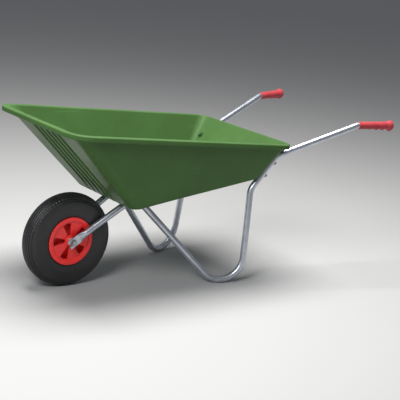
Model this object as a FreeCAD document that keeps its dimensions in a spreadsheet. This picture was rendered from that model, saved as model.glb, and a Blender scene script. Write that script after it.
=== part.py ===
import FreeCAD, Part
import math
import os

import Sketcher

# Garden wheelbarrow with a moulded tray, two bent tube sides and one pneumatic wheel.
# Millimetres. +X runs from the wheel to the handles, -Y is the left side for the person
# pushing it, +Z is up. The origin is the middle of the footprint, on the ground.

X_AXIS = FreeCAD.Vector(1, 0, 0)
Y_AXIS = FreeCAD.Vector(0, 1, 0)
Z_AXIS = FreeCAD.Vector(0, 0, 1)
SHEET = "Sizes"

# Driving dimensions. Places along X are measured from the axle, rearward, and the
# model is moved by axle_place at the end of each placement.
DRIVING = {
    "axle_place": -543.07,
    "axle_height": 175.0,
    # wheel
    "tyre_radius": 175.0,
    "tyre_half_width": 39.0,
    "tyre_wall": 6.0,
    "bead_radius": 84.0,
    "bead_half_width": 30.6,
    "flange_radius": 90.0,
    "flange_face": 36.0,
    "web_face": 31.0,
    "web_wall": 4.0,
    "membrane": 3.0,
    "barrel_wall": 4.0,
    "dish_radius": 76.0,
    "hub_radius": 17.0,
    "hub_face": 40.0,
    "slot_inner": 22.0,
    "slot_outer": 68.0,
    "slot_half_angle": 14.5,
    "boss_circle": 48.0,
    "boss_radius": 6.0,
    "inner_tube_ring": 133.5,
    "inner_tube_radius": 30.0,
    "inner_tube_wall": 2.0,
    "valve_offset": 16.0,
    "valve_radius": 3.5,
    "valve_tip": 50.0,
    "valve_root": 106.0,
    "cap_radius": 4.5,
    "cap_length": 12.0,
    # bearings and axle
    "axle_radius": 6.0,
    "running_gap": 0.05,
    "bush_radius": 11.0,
    "bush_flange_radius": 15.0,
    "bush_flange": 2.0,
    "bush_length": 30.0,
    "spacer_radius": 9.0,
    "side_play": 0.5,
    "washer_wall": 2.5,
    "washer_radius": 12.0,
    "axle_hex_radius": 10.97,
    "axle_head": 7.5,
    "axle_nut_height": 10.0,
    "axle_tail": 2.0,
    # frame tube
    "pipe_radius": 12.5,
    "pipe_wall": 1.5,
    "fork_half_gap": 53.0,
    "plate_wall": 5.0,
    "plate_height": 34.0,
    "plate_front": 20.0,
    "plate_rear": 28.0,
    "flare_end": 60.0,
    "fork_straight": 95.0,
    "peak_x": 246.0,
    "peak_y": 66.0,
    "peak_z": 331.0,
    "foot_x": 644.0,
    "foot_y": 244.0,
    "foot_z": -114.4,
    "run_low_y": 206.0,
    "run_low_z": 361.0,
    "run_high_y": 224.0,
    "run_high_z": 491.0,
    "handle_x": 1105.0,
    "handle_y": 305.0,
    "handle_z": 613.0,
    "end_x": 1254.0,
    "end_y": 342.0,
    "end_z": 615.0,
    "fork_bend": 100.0,
    "peak_bend": 52.0,
    "foot_bend": 93.1,
    "run_bend": 60.0,
    "handle_bend": 24.0,
    # grip
    "grip_length": 152.0,
    "grip_radius": 14.8,
    "grip_end_radius": 19.5,
    "grip_collar_radius": 16.5,
    "grip_gap": 0.1,
    # tray
    "rim_front_x": -165.0,
    "rim_rear_x": 804.0,
    "rim_front_z": 629.0,
    "rim_rear_z": 546.0,
    "rim_front_half": 292.0,
    "rim_rear_half": 300.0,
    "rim_front_corner": 85.0,
    "rim_rear_corner": 60.0,
    "lip_drop": 17.0,
    "lip_wall": 3.5,
    "lip_width": 22.0,
    "lip_rear_width": 8.0,
    "tray_wall": 3.5,
    "floor_front_x": 153.0,
    "floor_rear_x": 697.0,
    "floor_front_z": 320.0,
    "floor_rear_z": 410.0,
    "floor_front_half": 204.0,
    "floor_rear_half": 232.0,
    "floor_front_corner": 40.0,
    "floor_rear_corner": 22.0,
    "floor_edge": 14.0,
    "pad_radius": 18.0,
    "pad_relief": 2.1,
    "recess_radius": 13.0,
    "recess_depth": 7.0,
    "boss_height": 4.0,
    "wall_boss_radius": 13.0,
    # tray fixings
    "bolt_radius": 4.0,
    "hole_gap": 0.3,
    "bolt_head_radius": 8.5,
    "bolt_head": 4.5,
    "bolt_washer_radius": 10.5,
    "bolt_washer": 2.0,
    "bolt_nut_radius": 7.5,
    "bolt_nut": 6.5,
    "bolt_tail": 3.0,
    "fit_gap": 0.3,
    "nut_relief": 3.9,
    # small gaps, steps and drill lengths
    "mating_gap": 0.05,
    "bead_gap": 0.3,
    "thread_gap": 0.02,
    "barrel_step": 8.0,
    "bead_step": 13.0,
    "flange_lip": 2.8,
    "flange_bevel": 0.8,
    "cap_stand": 4.0,
    "cap_gap": 0.1,
    "cap_wall": 3.0,
    "valve_hole_start": 6.0,
    "valve_hole_short": 30.0,
    "tube_drill": 90.0,
    "tray_drill": 30.0,
    "grip_cover": 3.0,
    "grip_floor_gap": 0.3,
    "grip_collar_length": 5.0,
    "grip_neck_end": 9.0,
    "grip_taper_length": 75.0,
    # wheel screws
    "screw_radius": 3.0,
    "screw_gap": 0.15,
    "screw_stand": 1.6,
    "screw_head_radius": 5.5,
    "screw_head": 4.0,
    "screw_length": 48.0,
}

SLOT_COUNT = 5
FIRST_SLOT = 105.0
REAR_BOLT_STATIONS = (0.49, 0.855)
OVERLAP = 0.01


class Size:
    """A number together with the sheet expression that gives it."""

    def __init__(self, value, text):
        self.value = float(value)
        self.text = text

    def join(self, other, sign, value):
        return Size(value, f"({self.text} {sign} {other.text})")

    def __add__(self, other):
        other = sized(other)
        return self.join(other, "+", self.value + other.value)

    def __sub__(self, other):
        other = sized(other)
        return self.join(other, "-", self.value - other.value)

    def __mul__(self, other):
        other = sized(other)
        return self.join(other, "*", self.value * other.value)

    def __neg__(self):
        return Size(-self.value, f"(-1 * {self.text})")


def sized(number):
    """Return number as a Size, whether or not it is one already."""
    if isinstance(number, Size):
        return number
    return Size(number, repr(float(number)))


def fill_sheet(document):
    """Write the driving dimensions to the sheet and return them as Sizes."""
    sheet = document.addObject("Spreadsheet::Sheet", SHEET)
    sizes = {}
    for row, (name, value) in enumerate(DRIVING.items(), start=1):
        sheet.set(f"A{row}", name)
        sheet.set(f"B{row}", str(value))
        sheet.setAlias(f"B{row}", name)
        sizes[name] = Size(value, f"{SHEET}.{name}")
    document.recompute()
    return sizes


doc = FreeCAD.newDocument("wheelbarrow")
S = fill_sheet(doc)


# ---------------------------------------------------------------- helpers

def bind(thing, **sizes):
    """Tie properties of an object to the sheet."""
    for name, size in sizes.items():
        setattr(thing, name, size.value)
        thing.setExpression(name, size.text)
    return thing


def place(x, y, z, rotation=None):
    """A placement from Sizes, with X measured from the axle."""
    base = FreeCAD.Vector(x.value + S["axle_place"].value, y.value, z.value)
    return FreeCAD.Placement(base, rotation or FreeCAD.Rotation())


def vector(x, y, z):
    return place(x, y, z).Base


def turned(direction):
    """The rotation that takes +Z to a direction."""
    return FreeCAD.Rotation(Z_AXIS, direction)


def cylinder(name, radius, height, placement):
    made = bind(doc.addObject("Part::Cylinder", name), Radius=radius, Height=height)
    made.Placement = placement
    return made


def prism(name, radius, height, placement):
    made = doc.addObject("Part::Prism", name)
    made.Polygon = 6
    bind(made, Circumradius=radius, Height=height)
    made.Placement = placement
    return made


def boolean(kind, name, base, tool):
    made = doc.addObject(kind, name)
    made.Base = base
    made.Tool = tool
    return made


def cut(name, base, tool):
    return boolean("Part::Cut", name, base, tool)


def fuse(name, base, tool):
    return boolean("Part::Fuse", name, base, tool)


def group(name, members):
    made = doc.addObject("Part::Compound", name)
    made.Links = members
    return made


def moved(placement, along):
    """A placement shifted along its own Z axis."""
    return placement.multiply(FreeCAD.Placement(Z_AXIS * along, FreeCAD.Rotation()))


def mirror(name, source):
    made = doc.addObject("Part::Mirroring", name)
    made.Source = source
    made.Normal = Y_AXIS
    return made


def new_body(name, placement=None):
    body = doc.addObject("PartDesign::Body", name)
    if placement:
        body.Placement = placement
    return body


def sketch_in(body, name, role="XY_Plane"):
    """A sketch attached to one of its own body's origin planes."""
    sketch = body.newObject("Sketcher::SketchObject", name)
    plane = next(p for p in body.Origin.OriginFeatures if p.Role == role)
    sketch.AttachmentSupport = [(plane, "")]
    sketch.MapMode = "FlatFace"
    return sketch


def tie(sketch, constraint, size):
    index = sketch.addConstraint(constraint)
    sketch.setExpression(f"Constraints[{index}]", size.text)


def polygon(sketch, points):
    """Draw a closed outline of straight lines and tie each corner to the sheet."""
    count = len(points)
    places = [FreeCAD.Vector(u.value, v.value, 0) for u, v in points]
    for i in range(count):
        sketch.addGeometry(Part.LineSegment(places[i], places[(i + 1) % count]), False)
    for i in range(count):
        after = (i + 1) % count
        sketch.addConstraint(Sketcher.Constraint("Coincident", i, 2, after, 1))
    for i, (u, v) in enumerate(points):
        tie(sketch, Sketcher.Constraint("DistanceX", -1, 1, i, 1, u.value), u)
        tie(sketch, Sketcher.Constraint("DistanceY", -1, 1, i, 1, v.value), v)


def rounded_outline(sketch, corners):
    """Draw a closed outline whose corners (u, v, radius) are rounded by tangent arcs."""
    count = len(corners)
    marks = [FreeCAD.Vector(u.value, v.value, 0) for u, v, _ in corners]
    starts = []
    ends = []
    for i, (_, _, radius) in enumerate(corners):
        arc_start, middle, arc_end = corner_arc(marks[i - 1], marks[i],
                                                marks[(i + 1) % count], radius.value)
        starts.append(arc_end)
        ends.append(arc_start)
        sketch.addGeometry(Part.Arc(arc_start, middle, arc_end), False)
    for i in range(count):
        after = (i + 1) % count
        sketch.addGeometry(Part.LineSegment(starts[i], ends[after]), False)
    for mark in marks:
        sketch.addGeometry(Part.Point(mark), True)
    for i, (u, v, radius) in enumerate(corners):
        after = (i + 1) % count
        line = count + i
        mark = 2 * count + i
        next_mark = 2 * count + after
        tie(sketch, Sketcher.Constraint("DistanceX", -1, 1, mark, 1, u.value), u)
        tie(sketch, Sketcher.Constraint("DistanceY", -1, 1, mark, 1, v.value), v)
        sketch.addConstraint(Sketcher.Constraint("PointOnObject", mark, 1, line))
        sketch.addConstraint(Sketcher.Constraint("PointOnObject", next_mark, 1, line))
        arc_end = 2 if same(sketch.getPoint(i, 2), starts[i]) else 1
        sketch.addConstraint(Sketcher.Constraint("Tangent", i, arc_end, line, 1))
        arc_start = 1 if same(sketch.getPoint(after, 1), ends[after]) else 2
        sketch.addConstraint(Sketcher.Constraint("Tangent", after, arc_start, line, 2))
        tie(sketch, Sketcher.Constraint("Radius", i, radius.value), radius)


def same(point, other):
    return (point - other).Length < 1e-4


def corner_arc(before, corner, after, radius):
    """The start, middle and end of the arc that rounds a corner."""
    back = (before - corner).normalize()
    ahead = (after - corner).normalize()
    half = back.getAngle(ahead) / 2
    reach = radius / math.tan(half)
    centre = corner + (back + ahead).normalize() * (radius / math.sin(half))
    middle = centre + (corner - centre).normalize() * radius
    return corner + back * reach, middle, corner + ahead * reach


def bent_wire(corners, radii):
    """Straight runs through corner points, joined by tangent arcs."""
    edges = []
    here = corners[0]
    for i, radius in enumerate(radii, start=1):
        start, middle, end = corner_arc(corners[i - 1], corners[i], corners[i + 1], radius)
        edges.append(Part.LineSegment(here, start).toShape())
        edges.append(Part.Arc(start, middle, end).toShape())
        here = end
    edges.append(Part.LineSegment(here, corners[-1]).toShape())
    return Part.Wire(edges)


def revolved(name, points, placement):
    """A body turned about its own Y axis from (radius, height) corners."""
    body = new_body(name, placement)
    sketch = sketch_in(body, name + "_profile")
    polygon(sketch, points)
    turn = body.newObject("PartDesign::Revolution", name + "_turn")
    turn.Profile = sketch
    turn.ReferenceAxis = (sketch, ["V_Axis"])
    turn.Angle = 360.0
    sketch.Visibility = False
    doc.recompute()
    return body


def volume(body):
    """The volume of a body so far."""
    return body.Tip.Shape.Volume if body.Tip else 0.0


def checked(feature, before, sign):
    """Recompute, and stop if a pad or pocket did not change the volume as it should."""
    doc.recompute()
    change = feature.Shape.Volume - before
    if change * sign <= 0:
        raise ValueError(f"{feature.Name} changed the volume by {change:.1f}")


def extrude(body, kind, sketch, depth, reverse, sign):
    """Pad or pocket a sketch to a depth, and check its direction by the volume."""
    before = volume(body)
    made = body.newObject(kind, sketch.Name + "_solid")
    made.Profile = sketch
    made.Reversed = reverse
    bind(made, Length=depth)
    checked(made, before, sign)
    return made


def around(body, feature, count):
    """Repeat a feature about the body's own Y axis."""
    pattern = body.newObject("PartDesign::PolarPattern", feature.Name + "_ring")
    pattern.Originals = [feature]
    axis = next(a for a in body.Origin.OriginFeatures if a.Role == "Y_Axis")
    pattern.Axis = (axis, [""])
    pattern.Angle = 360.0
    pattern.Occurrences = count
    body.Tip = pattern
    doc.recompute()
    return pattern


# ---------------------------------------------------------------- wheel

AXLE = place(sized(0), sized(0), S["axle_height"])
ALONG_AXLE = FreeCAD.Rotation(X_AXIS, -90)


def on_axle(y):
    """A placement at height y along the axle, with local Z along +Y."""
    return place(sized(0), y, S["axle_height"], ALONG_AXLE)


def in_wheel_plane(radius, degrees):
    """A (u, v) pair in the wheel's plane from a radius and an angle."""
    angle = math.radians(degrees)
    return radius * math.cos(angle), radius * math.sin(angle)


def tyre():
    crown = S["tyre_radius"]
    side = S["tyre_half_width"]
    wall = S["tyre_wall"]
    bead = S["bead_radius"] + S["bead_gap"]
    edge = S["bead_half_width"]
    outer = [
        (bead, edge),
        (bead + 5, edge + 1.6),
        (bead + 9, edge + 3.4),
        (bead + 18, side - 1.5),
        (bead + 44, side),
        (crown - 25, side - 1),
        (crown - 12, side - 5),
        (crown - 4, side - 12),
        (crown, side - 21),
    ]
    inner = [
        (crown - wall - 1, side - 21),
        (crown - 16, side - 11),
        (crown - 30, side - wall),
        (bead + 38, side - wall),
        (bead + 20, side - wall - 4),
        (bead + 10, edge - 10),
        (bead, edge - 10),
    ]
    left = [(radius, -height) for radius, height in reversed(outer)]
    left_inner = [(radius, -height) for radius, height in reversed(inner)]
    revolved("tyre", outer + left + left_inner + inner, AXLE)


def inner_tube():
    rings = []
    for name, radius in (
        ("inner_tube_outside", S["inner_tube_radius"]),
        ("inner_tube_air", S["inner_tube_radius"] - S["inner_tube_wall"]),
    ):
        ring = doc.addObject("Part::Torus", name)
        bind(ring, Radius1=S["inner_tube_ring"], Radius2=radius)
        ring.Placement = on_axle(sized(0))
        rings.append(ring)
    cut("inner_tube", *rings)


def wheel_half(name, side):
    """One moulded half of the wheel centre; side is -1 for left and 1 for right."""
    web = S["web_face"]
    face = S["flange_face"]
    bead = S["bead_radius"]
    barrel = S["dish_radius"] + 2
    hub = S["hub_radius"]
    profile = [
        (S["bush_radius"], S["mating_gap"]),
        (barrel, S["mating_gap"]),
        (barrel, S["barrel_step"]),
        (bead - 1, S["bead_step"]),
        (bead, web),
        (S["flange_radius"], face - S["flange_lip"]),
        (S["flange_radius"], face - S["flange_bevel"]),
        (S["flange_radius"] - 2, face),
        (S["dish_radius"], face),
        (S["dish_radius"] - 2, web),
        (hub + 4, web + 1.5),
        (hub, S["hub_face"]),
        (S["bush_radius"], S["hub_face"]),
    ]
    corners = [(radius, height * side) for radius, height in profile]
    body = revolved(name + "_blank", corners, AXLE)
    cut_slots(body, name, side)
    cut_screw_holes(body, name, side)
    return cut(name, body, wheel_hollow(name, side))


def wheel_hollow(name, side):
    """The ring-shaped hollow between the web and the membrane, around the screw bosses."""
    inside = S["web_face"] - S["web_wall"]
    inner = S["hub_radius"] - 1
    outer = S["dish_radius"] + 2 - S["barrel_wall"]
    profile = [
        (inner, S["membrane"]),
        (outer, S["membrane"]),
        (outer, inside - 2),
        (S["slot_outer"] + 4, inside),
        (inner, inside - 1),
    ]
    ring_space = revolved(name + "_ring", [(r, h * side) for r, h in profile], AXLE)
    bosses = []
    for i in range(SLOT_COUNT):
        turn = FIRST_SLOT + 360.0 / SLOT_COUNT * (i + 0.5)
        u, v = in_wheel_plane(S["boss_circle"], turn)
        foot = place(u, sized(0), v + S["axle_height"], FreeCAD.Rotation(X_AXIS, -90 * side))
        bosses.append(cylinder(f"{name}_boss_{i}", S["boss_radius"], S["web_face"], foot))
    return cut(name + "_hollow", ring_space, group(name + "_bosses", bosses))


def circle_at(sketch, radius, spot):
    """A circle in a sketch whose middle is a pair of Sizes."""
    u, v = spot
    middle = FreeCAD.Vector(u.value, v.value, 0)
    sketch.addGeometry(Part.Circle(middle, Z_AXIS, radius.value), False)
    tie(sketch, Sketcher.Constraint("Radius", 0, radius.value), radius)
    tie(sketch, Sketcher.Constraint("DistanceX", -1, 1, 0, 3, u.value), u)
    tie(sketch, Sketcher.Constraint("DistanceY", -1, 1, 0, 3, v.value), v)


def first_boss():
    half_pitch = 180.0 / SLOT_COUNT
    return in_wheel_plane(S["boss_circle"], FIRST_SLOT + half_pitch)


def bind_offset(sketch, along):
    """Shift a sketch along its own normal."""
    sketch.AttachmentOffset = FreeCAD.Placement(Z_AXIS * along, FreeCAD.Rotation())


def cut_slots(body, name, side):
    sketch = sketch_in(body, name + "_slot", "XZ_Plane")
    bind_offset(sketch, -S["membrane"].value * side)
    half = S["slot_half_angle"].value
    polygon(sketch, [
        in_wheel_plane(S["slot_inner"], FIRST_SLOT - half),
        in_wheel_plane(S["slot_outer"], FIRST_SLOT - half),
        in_wheel_plane(S["slot_outer"] + 2, FIRST_SLOT),
        in_wheel_plane(S["slot_outer"], FIRST_SLOT + half),
        in_wheel_plane(S["slot_inner"], FIRST_SLOT + half),
    ])
    pocket = extrude(body, "PartDesign::Pocket", sketch, S["hub_face"], side < 0, -1)
    around(body, pocket, SLOT_COUNT)


def cut_screw_holes(body, name, side):
    sketch = sketch_in(body, name + "_hole", "XZ_Plane")
    circle_at(sketch, S["screw_radius"] + S["screw_gap"], first_boss())
    depth = S["hub_face"] if side > 0 else S["screw_length"] - S["web_face"] + 1
    pocket = extrude(body, "PartDesign::Pocket", sketch, depth, side < 0, -1)
    around(body, pocket, SLOT_COUNT)


def wheel_screws():
    screws = []
    pitch = 360.0 / SLOT_COUNT
    seat = S["web_face"] + S["screw_stand"]
    for i in range(SLOT_COUNT):
        turn = FIRST_SLOT + pitch * (i + 0.5)
        u, v = in_wheel_plane(S["boss_circle"], turn)
        frame = place(u, seat, v + S["axle_height"], ALONG_AXLE)
        back = place(u, seat, v + S["axle_height"], FreeCAD.Rotation(X_AXIS, 90))
        head = cylinder(f"screw_head_{i}", S["screw_head_radius"], S["screw_head"], frame)
        shank = cylinder(f"screw_shank_{i}", S["screw_radius"], S["screw_length"], back)
        screws.append(fuse(f"wheel_screw_{i}", head, shank))
    group("wheel_screws", screws)


def valve_frame(reach):
    """A placement on the valve's line, pointing from the rim to the axle."""
    angle = math.radians(FIRST_SLOT)
    out = FreeCAD.Vector(math.cos(angle), 0, math.sin(angle))
    base = AXLE.Base + out * reach.value + Y_AXIS * S["valve_offset"].value
    return FreeCAD.Placement(base, turned(out * -1))


def valve():
    tip = S["valve_tip"]
    root = S["valve_root"]
    cylinder("valve_stem", S["valve_radius"], root - tip, valve_frame(root))
    start = tip + S["cap_length"] - S["cap_stand"]
    shell = cylinder("cap_shell", S["cap_radius"], S["cap_length"], valve_frame(start))
    bore = cylinder("cap_bore", S["valve_radius"] + S["cap_gap"],
                    S["cap_length"] - S["cap_wall"], valve_frame(start))
    cut("valve_cap", shell, bore)


def hub_bush(name, side):
    bore = S["axle_radius"] + S["running_gap"]
    face = S["hub_face"]
    lip = face + S["bush_flange"]
    inner = face - S["bush_length"]
    profile = [
        (bore, inner),
        (S["bush_radius"], inner),
        (S["bush_radius"], face),
        (S["bush_flange_radius"], face),
        (S["bush_flange_radius"], lip),
        (bore, lip),
    ]
    revolved(name, [(radius, height * side) for radius, height in profile], AXLE)


def right_half_with_valve_hole():
    """The right half of the wheel centre, drilled for the valve stem."""
    half = wheel_half("right_half_moulding", 1)
    hole = cylinder("valve_hole", S["valve_radius"] + S["hole_gap"],
                    S["valve_root"] - S["valve_tip"] - S["valve_hole_short"],
                    valve_frame(S["bead_radius"] + S["valve_hole_start"]))
    cut("wheel_half_right", half, hole)


# ---------------------------------------------------------------- axle

def plate_outside():
    return S["fork_half_gap"] + S["plate_wall"] * 0.5


def axle_bolt():
    under_head = -(plate_outside() + S["washer_wall"])
    head_end = under_head - S["axle_head"]
    reach = plate_outside() + S["washer_wall"] + S["axle_nut_height"] + S["axle_tail"]
    head = prism("axle_head", S["axle_hex_radius"], S["axle_head"], on_axle(head_end))
    shank = cylinder("axle_shank", S["axle_radius"], reach - under_head, on_axle(under_head))
    fuse("axle_bolt", head, shank)


def axle_nut():
    seat = on_axle(plate_outside() + S["washer_wall"])
    blank = prism("axle_nut_blank", S["axle_hex_radius"], S["axle_nut_height"], seat)
    bore = cylinder("axle_nut_bore", S["axle_radius"] + S["thread_gap"],
                    S["axle_nut_height"], seat)
    cut("axle_nut", blank, bore)


def ring(name, radius, bore, height, placement):
    """A plain ring: a washer or a spacer."""
    blank = cylinder(name + "_blank", radius, height, placement)
    hole = cylinder(name + "_bore", bore, height, placement)
    return cut(name, blank, hole)


def axle_washers():
    bore = S["axle_radius"] + S["hole_gap"]
    wall = S["washer_wall"]
    left = ring("washer_left", S["washer_radius"], bore, wall,
                on_axle(-(plate_outside() + wall)))
    right = ring("washer_right", S["washer_radius"], bore, wall, on_axle(plate_outside()))
    group("axle_washers", [left, right])


def axle_spacer(name, side):
    inner = S["hub_face"] + S["bush_flange"] + S["side_play"]
    outer = S["fork_half_gap"] - S["plate_wall"] * 0.5
    start = inner if side > 0 else -outer
    bore = S["axle_radius"] + S["hole_gap"]
    ring(name, S["spacer_radius"], bore, outer - inner, on_axle(start))


# ---------------------------------------------------------------- tray

def rear_wall_slope():
    """How far the rear wall leans back for each millimetre of height."""
    lean = (S["rim_rear_x"] - S["lip_rear_width"] - S["floor_rear_x"]).value
    return lean / (S["rim_rear_z"] - S["floor_rear_z"]).value


def rear_wall_x(height):
    """Where the rear wall's outer face is at a height, measured from the axle."""
    return S["floor_rear_x"].value + (height - S["floor_rear_z"].value) * rear_wall_slope()


def floor_z(x):
    """The height of the underside of the floor at a place measured from the axle."""
    rise = (S["floor_rear_z"] - S["floor_front_z"]).value
    run = (S["floor_rear_x"] - S["floor_front_x"]).value
    return S["floor_front_z"].value + (x - S["floor_front_x"].value) * rise / run


def slope_between(front_x, front_z, rear_x, rear_z):
    """Length and tilt in degrees of a line from front to rear."""
    run = (rear_x - front_x).value
    rise = (rear_z - front_z).value
    return math.hypot(run, rise), math.degrees(math.atan2(rise, run))


def tilted_outline(body, name, line, lift, halves, radii, inset):
    """A rounded outline in a plane that tilts about Y, inset from its nominal edges."""
    front_x, front_z, rear_x, rear_z = line
    length, tilt = slope_between(*line)
    sketch = sketch_in(body, name)
    turn = FreeCAD.Rotation(Y_AXIS, -tilt)
    base = vector(front_x, sized(0), front_z) + turn.multVec(Z_AXIS) * lift
    sketch.AttachmentOffset = FreeCAD.Placement(base, turn)
    front_in, side_in, rear_in = inset
    front_half, rear_half = (half - side_in for half in halves)
    front_radius, rear_radius = radii
    rear_u = Size(length, f"({length!r})") - rear_in
    rounded_outline(sketch, [
        (front_in, -front_half, front_radius),
        (rear_u, -rear_half, rear_radius),
        (rear_u, rear_half, rear_radius),
        (front_in, front_half, front_radius),
    ])
    return sketch


def rim_outline(body, name, lift, inset, shrink):
    line = (S["rim_front_x"], S["rim_front_z"], S["rim_rear_x"], S["rim_rear_z"])
    halves = (S["rim_front_half"], S["rim_rear_half"])
    radii = (S["rim_front_corner"] - shrink, S["rim_rear_corner"] - shrink)
    return tilted_outline(body, name, line, lift, halves, radii, inset)


def floor_outline(body, name, lift, inset, shrink):
    line = (S["floor_front_x"], S["floor_front_z"], S["floor_rear_x"], S["floor_rear_z"])
    halves = (S["floor_front_half"], S["floor_rear_half"])
    radii = (S["floor_front_corner"] - shrink, S["floor_rear_corner"] - shrink)
    return tilted_outline(body, name, line, lift, halves, radii, inset)


def loft(body, kind, sections, sign):
    before = volume(body)
    made = body.newObject(kind, sections[0].Name + "_loft")
    made.Profile = sections[0]
    made.Sections = sections[1:]
    made.Ruled = True
    checked(made, before, sign)
    return made


def round_floor(body, height, radius):
    """Round the edge where the walls meet the floor, at a height above its plane."""
    wanted = []
    tip = body.Tip
    _, tilt = slope_between(S["floor_front_x"], S["floor_front_z"],
                            S["floor_rear_x"], S["floor_rear_z"])
    normal = FreeCAD.Rotation(Y_AXIS, -tilt).multVec(Z_AXIS)
    base = vector(S["floor_front_x"], sized(0), S["floor_front_z"])
    for i, edge in enumerate(tip.Shape.Edges, start=1):
        heights = [(v.Point - base).dot(normal) for v in edge.Vertexes]
        if all(abs(h - height) < 0.01 for h in heights):
            wanted.append(f"Edge{i}")
    fillet = body.newObject("PartDesign::Fillet", f"floor_edge_{len(body.Group)}")
    fillet.Base = (tip, wanted)
    bind(fillet, Radius=radius)
    doc.recompute()
    return fillet


def tray_moulding():
    body = new_body("tray_moulding")
    none = sized(0)
    wall = S["tray_wall"]
    drop = S["lip_drop"]
    skin = S["lip_wall"]
    edge = rim_outline(body, "lip_edge", 0, (none, none, none), 0)
    extrude(body, "PartDesign::Pad", edge, drop, True, 1)
    under = rim_outline(body, "lip_underside", -drop.value, (skin, skin, skin), skin)
    extrude(body, "PartDesign::Pocket", under, drop - skin, True, -1)
    width = S["lip_width"]
    rear = S["lip_rear_width"]
    top = rim_outline(body, "wall_top", -OVERLAP, (width, width, rear), width)
    bottom = floor_outline(body, "wall_bottom", 0, (none, none, none), 0)
    loft(body, "PartDesign::AdditiveLoft", [top, bottom], 1)
    round_floor(body, 0, S["floor_edge"])
    inside = (width + wall, width + wall, rear + wall)
    mouth = rim_outline(body, "mouth", OVERLAP, inside, width + wall)
    bed = floor_outline(body, "bed", wall.value, (wall * 0.6, wall, wall), wall)
    loft(body, "PartDesign::SubtractiveLoft", [mouth, bed], -1)
    round_floor(body, wall.value, S["floor_edge"] - wall)
    return body


# ---------------------------------------------------------------- frame

def run_point(which):
    """A corner of the tube run that lies against the tray's rear wall."""
    height = S[f"run_{which}_z"]
    lean = math.atan(rear_wall_slope())
    stand_off = (S["pipe_radius"] + S["fit_gap"]).value / math.cos(lean)
    x = sized(rear_wall_x(height.value) + stand_off)
    return vector(x, -S[f"run_{which}_y"], height)


def fork_direction():
    lift = (S["peak_z"] - S["axle_height"]).value
    return FreeCAD.Vector(S["peak_x"].value, 0, lift).normalize()


def fork_point(reach):
    """A point on the straight part of the left fork arm, measured from the axle."""
    base = vector(sized(0), -S["fork_half_gap"], S["axle_height"])
    return base + fork_direction() * reach.value


def tube_corners():
    return [
        fork_point(S["flare_end"]),
        fork_point(S["fork_straight"]),
        vector(S["peak_x"], -S["peak_y"], S["peak_z"]),
        vector(S["foot_x"], -S["foot_y"], S["foot_z"]),
        run_point("low"),
        run_point("high"),
        vector(S["handle_x"], -S["handle_y"], S["handle_z"]),
        vector(S["end_x"], -S["end_y"], S["end_z"]),
    ]


def tube_radii():
    names = ("fork_bend", "peak_bend", "foot_bend", "run_bend", "run_bend", "handle_bend")
    return [S[name].value for name in names]


def sweep(name, radius, spine):
    start = tube_corners()
    circle = bind(doc.addObject("Part::Circle", name + "_section"), Radius=radius)
    circle.Placement = FreeCAD.Placement(start[0], turned(start[1] - start[0]))
    made = doc.addObject("Part::Sweep", name)
    made.Sections = [circle]
    made.Spine = (spine, [f"Edge{i + 1}" for i in range(len(spine.Shape.Edges))])
    made.Solid = True
    made.Frenet = False
    return made


def fork_frame(reach, across, rotation):
    """A placement on the fork arm: reach along it, across it in its own plane."""
    along = fork_direction()
    upward = FreeCAD.Vector(-along.z, 0, along.x)
    base = fork_point(sized(reach)) + upward * across
    return FreeCAD.Placement(base, rotation)


def fork_end():
    """The flattened, notched end of the tube that takes the axle."""
    along = fork_direction()
    down_pipe = turned(along)
    pitch = math.degrees(math.atan2(along.z, along.x))
    flat = FreeCAD.Rotation(Y_AXIS, -pitch)
    mouth = bind(doc.addObject("Part::Circle", "flare_mouth"), Radius=S["pipe_radius"])
    mouth.Placement = FreeCAD.Placement(fork_point(S["flare_end"]), down_pipe)
    throat = doc.addObject("Part::Ellipse", "flare_throat")
    bind(throat, MajorRadius=S["plate_height"] * 0.5, MinorRadius=S["plate_wall"] * 0.5)
    quarter = FreeCAD.Rotation(Z_AXIS, across_angle(down_pipe))
    throat.Placement = FreeCAD.Placement(fork_point(S["plate_rear"]),
                                         down_pipe.multiply(quarter))
    flare = doc.addObject("Part::Loft", "flare")
    flare.Sections = [mouth, throat]
    flare.Solid = True
    plate = bind(doc.addObject("Part::Box", "plate"), Width=S["plate_wall"],
                 Height=S["plate_height"], Length=S["plate_front"] + S["plate_rear"])
    corner = fork_frame(-S["plate_front"].value, -S["plate_height"].value / 2, flat)
    corner.Base = corner.Base - Y_AXIS * (S["plate_wall"].value / 2)
    plate.Placement = corner
    blank = fuse("fork_end_blank", flare, plate)
    notch = S["axle_radius"] + S["hole_gap"]
    thick = S["plate_wall"] * 4
    seat = fork_frame(0, 0, ALONG_AXLE)
    seat.Base = seat.Base - Y_AXIS * (thick.value / 2)
    eye = cylinder("notch_eye", notch, thick, seat)
    mouth_box = bind(doc.addObject("Part::Box", "notch_mouth"), Width=thick,
                     Height=notch * 2, Length=S["plate_front"] + 10)
    start = fork_frame(-S["plate_front"].value - 10, -notch.value, flat)
    start.Base = start.Base - Y_AXIS * (thick.value / 2)
    mouth_box.Placement = start
    return cut("fork_end", blank, fuse("notch", eye, mouth_box))


def across_angle(down_pipe):
    """The turn about the pipe that lays an ellipse's long axis square to the axle."""
    long_axis = down_pipe.multVec(X_AXIS)
    return 90.0 if abs(long_axis.dot(Y_AXIS)) > 0.5 else 0.0


def rear_bolt_frame(station):
    """The placement of a rear bolt: Z runs from inside the tray out through the tube."""
    low = run_point("low")
    high = run_point("high")
    on_tube = low + (high - low) * station
    lean = math.atan(rear_wall_slope())
    outward = FreeCAD.Vector(math.cos(lean), 0, -math.sin(lean))
    depth = (S["pipe_radius"] + S["fit_gap"] + S["tray_wall"] + S["boss_height"]).value
    return FreeCAD.Placement(on_tube - outward * depth, turned(outward))


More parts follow.
